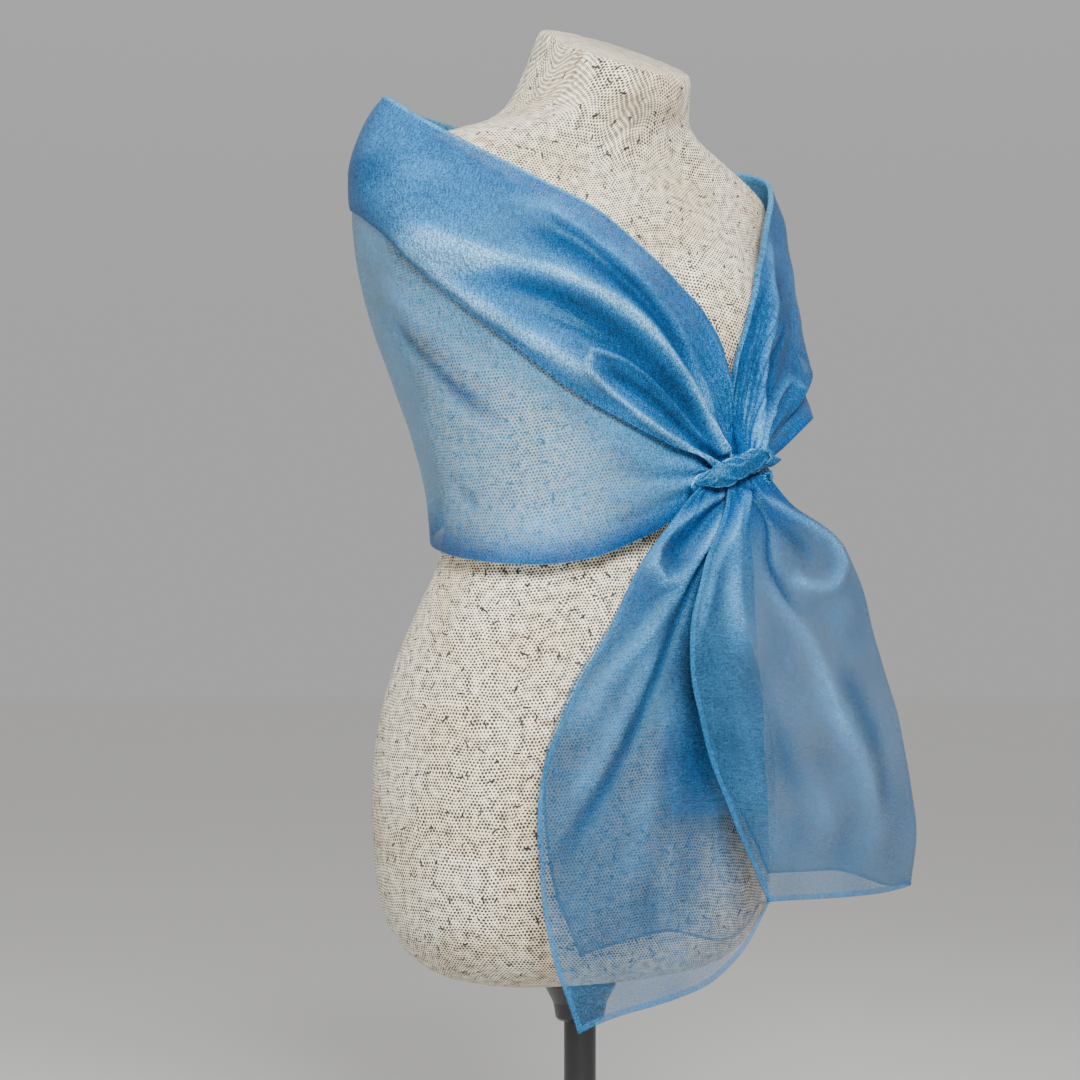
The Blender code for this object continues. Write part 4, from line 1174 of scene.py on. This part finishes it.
# One place along a strand of the knot: distances to the side of the knot, towards the front and up, and
# the strand's width and depth there, in millimetres, and its turn about its own path in degrees.
StrandStop = namedtuple("StrandStop", "side front up width depth turn")
KNOT_STRANDS = {
    "knot_front_loop": table(
        StrandStop,
        (-43, 2, -11, 3, 3, 0),
        (-34, 8, -7, 12, 6, 10),
        (-25, 13, -3.5, 18, 8, 10),
        (-14, 16, 1, 17, 9, 5),
        (-3, 16, 2.5, 12, 8, 0),
        (6, 13, 2, 7, 6, 0),
    ),
    "knot_upper_loop": table(
        StrandStop,
        (-8, 10, 7, 5, 4, 0),
        (-4, 13, 8, 12, 7, 0),
        (3, 15, 8, 17, 8, 0),
        (13, 14, 10.5, 15, 8, 0),
        (21, 12, 12, 12, 7, 0),
        (29, 9, 11, 4, 4, 0),
    ),
    "knot_curl": table(
        StrandStop,
        (11.6, 14.2, 9.6, 2.6, 2.6, 0),
        (12.7, 15.1, 14.8, 3.0, 2.8, 0),
        (16.8, 18.5, 15.3, 3.2, 3.0, 0),
        (18.5, 20.0, 10.4, 3.2, 3.0, 0),
        (15.6, 17.5, 6.6, 3.0, 2.8, 0),
        (12.2, 14.7, 8.2, 2.4, 2.4, 0),
    ),
    "knot_point": table(
        StrandStop,
        (22, 6, 9, 7, 4, 0),
        (31, 5, 10, 9, 5, 0),
        (38, 4, 11, 6, 4, 0),
        (43, 4, 12, 1.5, 1.5, 0),
    ),
    "knot_left_end": table(
        StrandStop,
        (-22, 1, -7, 8, 6, 0),
        (-31, 0, -9, 14, 8, 0),
        (-38, -1, -12, 14, 8, 10),
        (-43, -2, -15, 6, 5, 20),
    ),
}
KNOT_CORE = table(
    StrandStop,
    (0, 1, 13, 9, 8, 0),
    (0, 2, 8, 20, 13, 0),
    (0, 1, -2, 25, 14, 0),
    (0, 0, -11, 22, 12, 0),
    (0, 0, -15, 13, 8, 0),
)
STRAND_SIDES = 40
STRAND_RINGS = 48
STRAND_PLEATS = 5
CORE_PLEATS = 9
STRAND_WAVE = 0.07
STRAND_CRINKLE = 0.03
PAINTED_RIM_SHARPNESS = 14
COIL_TURN = 640.0
COIL_RINGS = 150
COIL_SIDES = 14
COIL_WRINKLES = 11
COIL_WRINKLE_DEPTH = 0.10
COIL_OUTER = 0.78
COIL_CLOSING = 0.62
COIL_THICK = 0.32
COIL_THINNING = 0.14
COIL_FACE = np.array((0.0, -1.4, 0.0))
COIL_SHARE = 0.64
COIL_PLACE = np.array((-0.0105, -0.013, -0.001))
COIL_STEP_FORWARD = 0.005


def pleated_strand(stops, pleats, seed):
    """Rings of a flattened strand of cloth with lengthwise pleats, in metres."""
    value = smooth_rows(stops, np.linspace(0, 1, STRAND_RINGS))
    route = np.stack([KNOT_PLACE[0] + value["side"] * MM, KNOT_PLACE[1] - value["front"] * MM,
                      KNOT_PLACE[2] + value["up"] * MM], axis=-1)
    heading = np.gradient(route, axis=0)
    heading /= np.linalg.norm(heading, axis=1, keepdims=True)
    turn = np.linspace(0, 2 * math.pi, STRAND_SIDES, endpoint=False)
    rings = []
    folds = []
    for step, place in enumerate(route):
        facing = np.array([0.0, -1.0, 0.0])
        out = facing - heading[step] * (facing @ heading[step])
        out /= np.linalg.norm(out)
        side = np.cross(heading[step], out)
        lean = math.radians(value["turn"][step])
        across = side * math.cos(lean) + out * math.sin(lean)
        through = out * math.cos(lean) - side * math.sin(lean)
        drift = noise.noise(Vector((step * 0.09, seed, 0.0)))
        wave = np.cos(pleats * turn + drift * 5 + step * 0.05)
        swell = 1 + STRAND_WAVE * wave + STRAND_CRINKLE * np.cos((2 * pleats + 1) * turn + seed)
        width = value["width"][step] * MM / 2
        depth = value["depth"][step] * MM / 2
        rings.append(place + np.outer(np.cos(turn) * swell, across) * width
                     + np.outer(np.sin(turn) * swell, through) * depth)
        # Painted highlights on the strand's rims and pleat crests, and painted shade over the rest of it,
        # through its fold values.
        rim = np.abs(np.cos(turn)) ** PAINTED_RIM_SHARPNESS
        folds.append(-0.45 + 1.4 * rim + 0.9 * np.maximum(wave, 0) ** 4)
    return rings, folds


def coil_rings():
    """Rings of the short wrinkled end coiled beside the knot."""
    low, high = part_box("knot_end")
    centre = np.array((low + high) / 2)
    reach = (high.z - low.z) / 2 * COIL_SHARE
    turns = np.linspace(0, math.radians(COIL_TURN), COIL_RINGS)
    around_turn = np.linspace(0, 2 * math.pi, COIL_SIDES, endpoint=False)
    rings = []
    folds = []
    for step, turn in enumerate(turns):
        share = step / (len(turns) - 1)
        radius = reach * (COIL_OUTER - COIL_CLOSING * share)
        out = np.array([-math.cos(turn), 0.0, math.sin(turn)])
        place = centre + out * radius + COIL_PLACE - np.array([0.0, COIL_STEP_FORWARD * share, 0.0])
        wrinkle = math.sin(turn * COIL_WRINKLES)
        thick = reach * (COIL_THICK - COIL_THINNING * share) * (1 + COIL_WRINKLE_DEPTH * wrinkle)
        rings.append(place + thick * (np.outer(np.cos(around_turn), out)
                                      + np.outer(np.sin(around_turn), COIL_FACE)))
        # Painted light on the coil's front-facing side and its wrinkle crests, and painted shade on its back,
        # through its fold values.
        folds.append(-0.6 + 0.4 * np.sin(around_turn) + max(0.0, wrinkle) ** 2)
    return rings, folds


def form_grid():
    """Rings of the form from its underside to its sloping neck cap."""
    angles = np.linspace(0, 360, FORM_SIDES, endpoint=False)
    heights = list(FORM_FOOT_HEIGHTS)
    while heights[-1] + FORM_HEIGHT_STEP < NECK_CAP_HEIGHT - NECK_CAP_EDGE:
        heights.append(heights[-1] + FORM_HEIGHT_STEP)
    heights += [NECK_CAP_HEIGHT - NECK_CAP_EDGE, NECK_CAP_HEIGHT - NECK_CAP_EDGE / 3, NECK_CAP_HEIGHT]
    rings = []
    for height in heights:
        level = np.full(FORM_SIDES, height)
        over = max(0.0, (height - NECK_CAP_HEIGHT + NECK_CAP_EDGE) / NECK_CAP_EDGE)
        radius = form_radius(angles, level) - NECK_CAP_EDGE / 2 * over ** 2
        ring = around(angles, radius, level)
        slope = NECK_CAP_SLOPE * ease((height - NECK_FOOT) / (NECK_CAP_HEIGHT - NECK_FOOT))
        ring[:, 2] += slope * ring[:, 1] + STAND_HEIGHT
        ring[:, 1] -= smooth_column(FORM_RINGS, "height", "forward", height / MM) * MM
        rings.append(ring)
    return np.array(rings)


def form_object(material):
    """The form's covered body, with a map that keeps the cover's dots at one size."""
    rings = form_grid()
    count = rings.shape[0]
    mesh = bpy.data.meshes.new("form_covered_body")
    mesh.from_pydata(rings.reshape(-1, 3).tolist(), [], ring_faces(count, FORM_SIDES))
    start = FORM_SIDES * FORM_SEAM_ANGLE // 360
    rolled = np.roll(rings, -start, axis=1)
    closed = np.concatenate([rolled, rolled[:, :1]], axis=1)
    across = np.concatenate([np.zeros((count, 1)),
                             np.cumsum(np.linalg.norm(np.diff(closed, axis=1), axis=2), axis=1)], axis=1)
    facing = FORM_SIDES // 2
    across = across - across[:, facing:facing + 1]
    down = np.concatenate([np.zeros((1, FORM_SIDES + 1)),
                           np.cumsum(np.linalg.norm(np.diff(closed, axis=0), axis=2), axis=0)])
    layer = mesh.uv_layers.new(name="cover")
    for face in mesh.polygons:
        sides = [(vertex % FORM_SIDES - start) % FORM_SIDES for vertex in face.vertices]
        flat = len(face.vertices) > 4
        for corner, vertex, side in zip(face.loop_indices, face.vertices, sides):
            if flat:
                layer.data[corner].uv = mesh.vertices[vertex].co.xy
                continue
            if side == 0 and max(sides) > 1:
                side = FORM_SIDES
            ring = vertex // FORM_SIDES
            layer.data[corner].uv = (across[ring, side], down[ring, side])
    mesh.materials.append(material)
    mesh.shade_smooth()
    mesh.set_sharp_from_angle(angle=math.radians(FORM_SHARP_ANGLE))
    return scene_object("form_covered_body", mesh)


# The stage's lights, floor and surround, in metres and degrees.
AIM_HEIGHT = 0.66
LIGHT_DISTANCE = 2.4
LIGHT_SPREAD = 75
FLOOR_RADIUS = 40.0
BACKDROP_GREY = (0.435, 0.435, 0.435, 1.0)
OVERHEAD_GREY = (0.63, 0.62, 0.60, 1.0)


def soft_light(name, place, size, power):
    """A square area light that faces the form."""
    light = bpy.data.lights.new(name, "AREA")
    light.shape = "SQUARE"
    light.size = size
    light.energy = power
    light.spread = math.radians(LIGHT_SPREAD)
    item = scene_object(name, light)
    item.location = place
    aim = Vector((0.0, 0.0, AIM_HEIGHT)) - Vector(place)
    item.rotation_euler = aim.to_track_quat("-Z", "Y").to_euler()


def seen_from(azimuth, elevation, distance, height):
    """A place round the form, at an azimuth where 0 is its front."""
    turn = math.radians(azimuth)
    rise = math.radians(elevation)
    return (math.sin(turn) * math.cos(rise) * distance, -math.cos(turn) * math.cos(rise) * distance,
            height + math.sin(rise) * distance)


def studio_floor(settings):
    """A wide plain floor."""
    mesh = bpy.data.meshes.new("studio_floor")
    shape = bmesh.new()
    bmesh.ops.create_circle(shape, cap_ends=True, segments=64, radius=FLOOR_RADIUS)
    shape.to_mesh(mesh)
    shape.free()
    mesh.materials.append(floor_surface(settings))
    return scene_object("studio_floor", mesh)


def studio_surround():
    """A grey world that is brighter overhead."""
    world = bpy.data.worlds.new("studio_surround")
    world.use_nodes = True
    nodes = world.node_tree.nodes
    links = world.node_tree.links
    direction = nodes.new("ShaderNodeTexCoord")
    rise = nodes.new("ShaderNodeSeparateXYZ")
    blend = nodes.new("ShaderNodeMapRange")
    blend.interpolation_type = "SMOOTHSTEP"
    blend.inputs["From Min"].default_value = 0.12
    blend.inputs["From Max"].default_value = 0.75
    mix = nodes.new("ShaderNodeMix")
    mix.data_type = "RGBA"
    mix.inputs[6].default_value = BACKDROP_GREY
    mix.inputs[7].default_value = OVERHEAD_GREY
    links.new(direction.outputs["Generated"], rise.inputs[0])
    links.new(rise.outputs["Z"], blend.inputs["Value"])
    links.new(blend.outputs["Result"], mix.inputs[0])
    links.new(mix.outputs[2], nodes["Background"].inputs["Color"])
    bpy.context.scene.world = world


def studio_camera(settings):
    """A level camera at the photo's viewing angle."""
    camera = bpy.data.cameras.new("camera")
    camera.sensor_width = 36.0
    camera.lens = settings.focal_length
    camera.shift_x = -0.037
    camera.shift_y = 0.1157
    item = scene_object("camera", camera)
    azimuth = settings.camera_azimuth
    item.location = seen_from(azimuth, 0, settings.camera_distance, settings.camera_height)
    item.rotation_euler = (math.pi / 2, 0, math.radians(azimuth))
    bpy.context.scene.camera = item


class STOLE_OT_stage(bpy.types.Operator):
    """Lay the plain floor, the soft studio lights and the camera"""
    bl_idname = "stole.stage"
    bl_label = "Studio Stage"

    def execute(self, context):
        settings = context.scene.stage_settings
        floor = studio_floor(settings)
        studio_surround()
        key_place = seen_from(azimuth=-30, elevation=26, distance=LIGHT_DISTANCE, height=AIM_HEIGHT)
        soft_light("key_light", key_place, size=0.9, power=settings.key_power)
        fill_place = seen_from(azimuth=-110, elevation=30, distance=LIGHT_DISTANCE, height=AIM_HEIGHT)
        soft_light("fill_light", fill_place, size=1.4, power=settings.fill_power)
        studio_camera(settings)
        return {"FINISHED"}


class STOLE_OT_form(bpy.types.Operator):
    """Build the covered form over its CAD solid"""
    bl_idname = "stole.form"
    bl_label = "Covered Form"

    def execute(self, context):
        body = form_object(form_cover_surface(context.scene.form_settings))
        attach(body, "root")
        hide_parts("form_body")
        return {"FINISHED"}


class STOLE_OT_stand(bpy.types.Operator):
    """Paint the CAD stand"""
    bl_idname = "stole.stand"
    bl_label = "Painted Stand"

    def execute(self, context):
        paint = stand_surface()
        for name in ("stand_base", "stand_pole", "stand_socket"):
            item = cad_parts[name]
            item.data.materials.clear()
            item.data.materials.append(paint)
        return {"FINISHED"}


class STOLE_OT_wrap(bpy.types.Operator):
    """Drape the folded wrap round the arms and back, from the knot to the knot"""
    bl_idname = "stole.wrap"
    bl_label = "Draped Wrap"

    def execute(self, context):
        settings = context.scene.stole_settings
        organza = organza_surface("stole_organza", settings, (0.09, 0.35, 0.62), (0.004, 0.075, 0.26))
        wrap = sheet_object("stole_wrap", *wrap_sheet(settings), organza, settings.cloth_thickness)
        plain_copy(wrap)
        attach(wrap, "root")
        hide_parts("stole_right_front", "stole_back", "stole_left_front")
        return {"FINISHED"}


class STOLE_OT_tails(bpy.types.Operator):
    """Hang the two folded tails with their hems and stitches"""
    bl_idname = "stole.tails"
    bl_label = "Hanging Tails"

    def execute(self, context):
        settings = context.scene.stole_settings
        organza = organza_surface("stole_tail_organza", settings, (0.036, 0.125, 0.24), (0.004, 0.072, 0.25))
        hem_cloth = organza_surface("stole_hem_organza", settings, (0.030, 0.21, 0.48), (0.030, 0.21, 0.48))
        thread = organza_surface("stole_hem_thread", settings, (0.06, 0.32, 0.66), (0.06, 0.32, 0.66))
        for name, shape, flat in (("long_tail", LONG_TAIL, (0.34, 0.40)),
                                  ("short_tail", SHORT_TAIL, (0.34, 0.31))):
            grid, *looks = tail_sheet(shape, settings)
            tail = sheet_object(f"stole_{name}_cloth", grid, *looks, organza, settings.cloth_thickness)
            plain_copy(tail)
            edges = {
                "side": (grid[:, 0], grid[:, 3]),
                "end": (grid[-1, :TAIL_FRONT_POINTS], grid[-4, :TAIL_FRONT_POINTS]),
                "back_end": (grid[-1, TAIL_FRONT_POINTS:], grid[-4, TAIL_FRONT_POINTS:]),
                "back_side": (grid[:, -1], grid[:, -4]),
            }
            with_pieces = []
            for place, (edge, inner) in edges.items():
                behind = place.startswith("back")
                cloth = organza if behind else hem_cloth
                cover = BACK_HEM_COVER if behind else HEM_COVER
                width = settings.hem_width * (BACK_HEM_SHARE if behind else 1.0)
                hem, path = hem_strip(f"{name}_{place}_hem", edge, inner, cloth, cover, width)
                front = path - np.array([0.0, STITCH_RAISE, 0.0])
                row = stitches(f"{name}_{place}_stitches", front, settings, thread)
                with_pieces += [hem, row]
            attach(tail, "root")
            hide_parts("stole_" + name)
            for piece in with_pieces:
                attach(piece, "root")
        return {"FINISHED"}


class STOLE_OT_knot(bpy.types.Operator):
    """Tie the knot: its core, its loops, its point and the coiled end"""
    bl_idname = "stole.knot"
    bl_label = "Tied Knot"

    def execute(self, context):
        settings = context.scene.stole_settings
        bunched = organza_surface("stole_bunched_organza", settings, (0.02, 0.18, 0.42), (0.012, 0.092, 0.23))
        for seed, (name, stops) in enumerate(KNOT_STRANDS.items()):
            rings_and_folds = pleated_strand(stops, STRAND_PLEATS, seed=seed + 1.0)
            strand = tube_object(name, *rings_and_folds, bunched, cover=0.86, cloth_width=0.08)
            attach(strand, "root")
            if name == "knot_front_loop":
                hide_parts("knot_band")
        rings_and_folds = pleated_strand(KNOT_CORE, CORE_PLEATS, seed=9.0)
        core = tube_object("knot_gathered_core", *rings_and_folds, bunched, cover=0.92, cloth_width=0.10)
        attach(core, "root")
        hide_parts("knot_core")
        coil = tube_object("knot_coiled_end", *coil_rings(), bunched, cover=0.88, cloth_width=0.03)
        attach(coil, "root")
        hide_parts("knot_end")
        return {"FINISHED"}


class STOLE_PT_panel(bpy.types.Panel):
    """Operators of the stole and their settings"""
    bl_idname = "STOLE_PT_panel"
    bl_label = "Evening Stole"
    bl_space_type = "VIEW_3D"
    bl_region_type = "UI"
    bl_category = "Stole"

    def draw(self, context):
        layout = self.layout
        for operator in OPERATORS:
            layout.operator(operator.bl_idname)
        for group in ("form_settings", "stole_settings", "stage_settings"):
            settings = getattr(context.scene, group)
            box = layout.box()
            for name in settings.__annotations__:
                box.prop(settings, name)


OPERATORS = (STOLE_OT_form, STOLE_OT_stand, STOLE_OT_wrap, STOLE_OT_tails, STOLE_OT_knot, STOLE_OT_stage)
GROUPS = {"form_settings": FormSettings, "stole_settings": StoleSettings, "stage_settings": StageSettings}


def register():
    for group in GROUPS.values():
        bpy.utils.register_class(group)
    for name, group in GROUPS.items():
        setattr(bpy.types.Scene, name, bpy.props.PointerProperty(type=group))
    for item in (*OPERATORS, STOLE_PT_panel):
        bpy.utils.register_class(item)


def unregister():
    for item in (STOLE_PT_panel, *reversed(OPERATORS)):
        bpy.utils.unregister_class(item)
    for name in GROUPS:
        delattr(bpy.types.Scene, name)
    for group in GROUPS.values():
        bpy.utils.unregister_class(group)


def main():
    register()
    bpy.ops.stole.form()
    bpy.ops.stole.stand()
    bpy.ops.stole.wrap()
    bpy.ops.stole.tails()
    bpy.ops.stole.knot()
    bpy.ops.stole.stage()


if __name__ == "__main__":
    main()
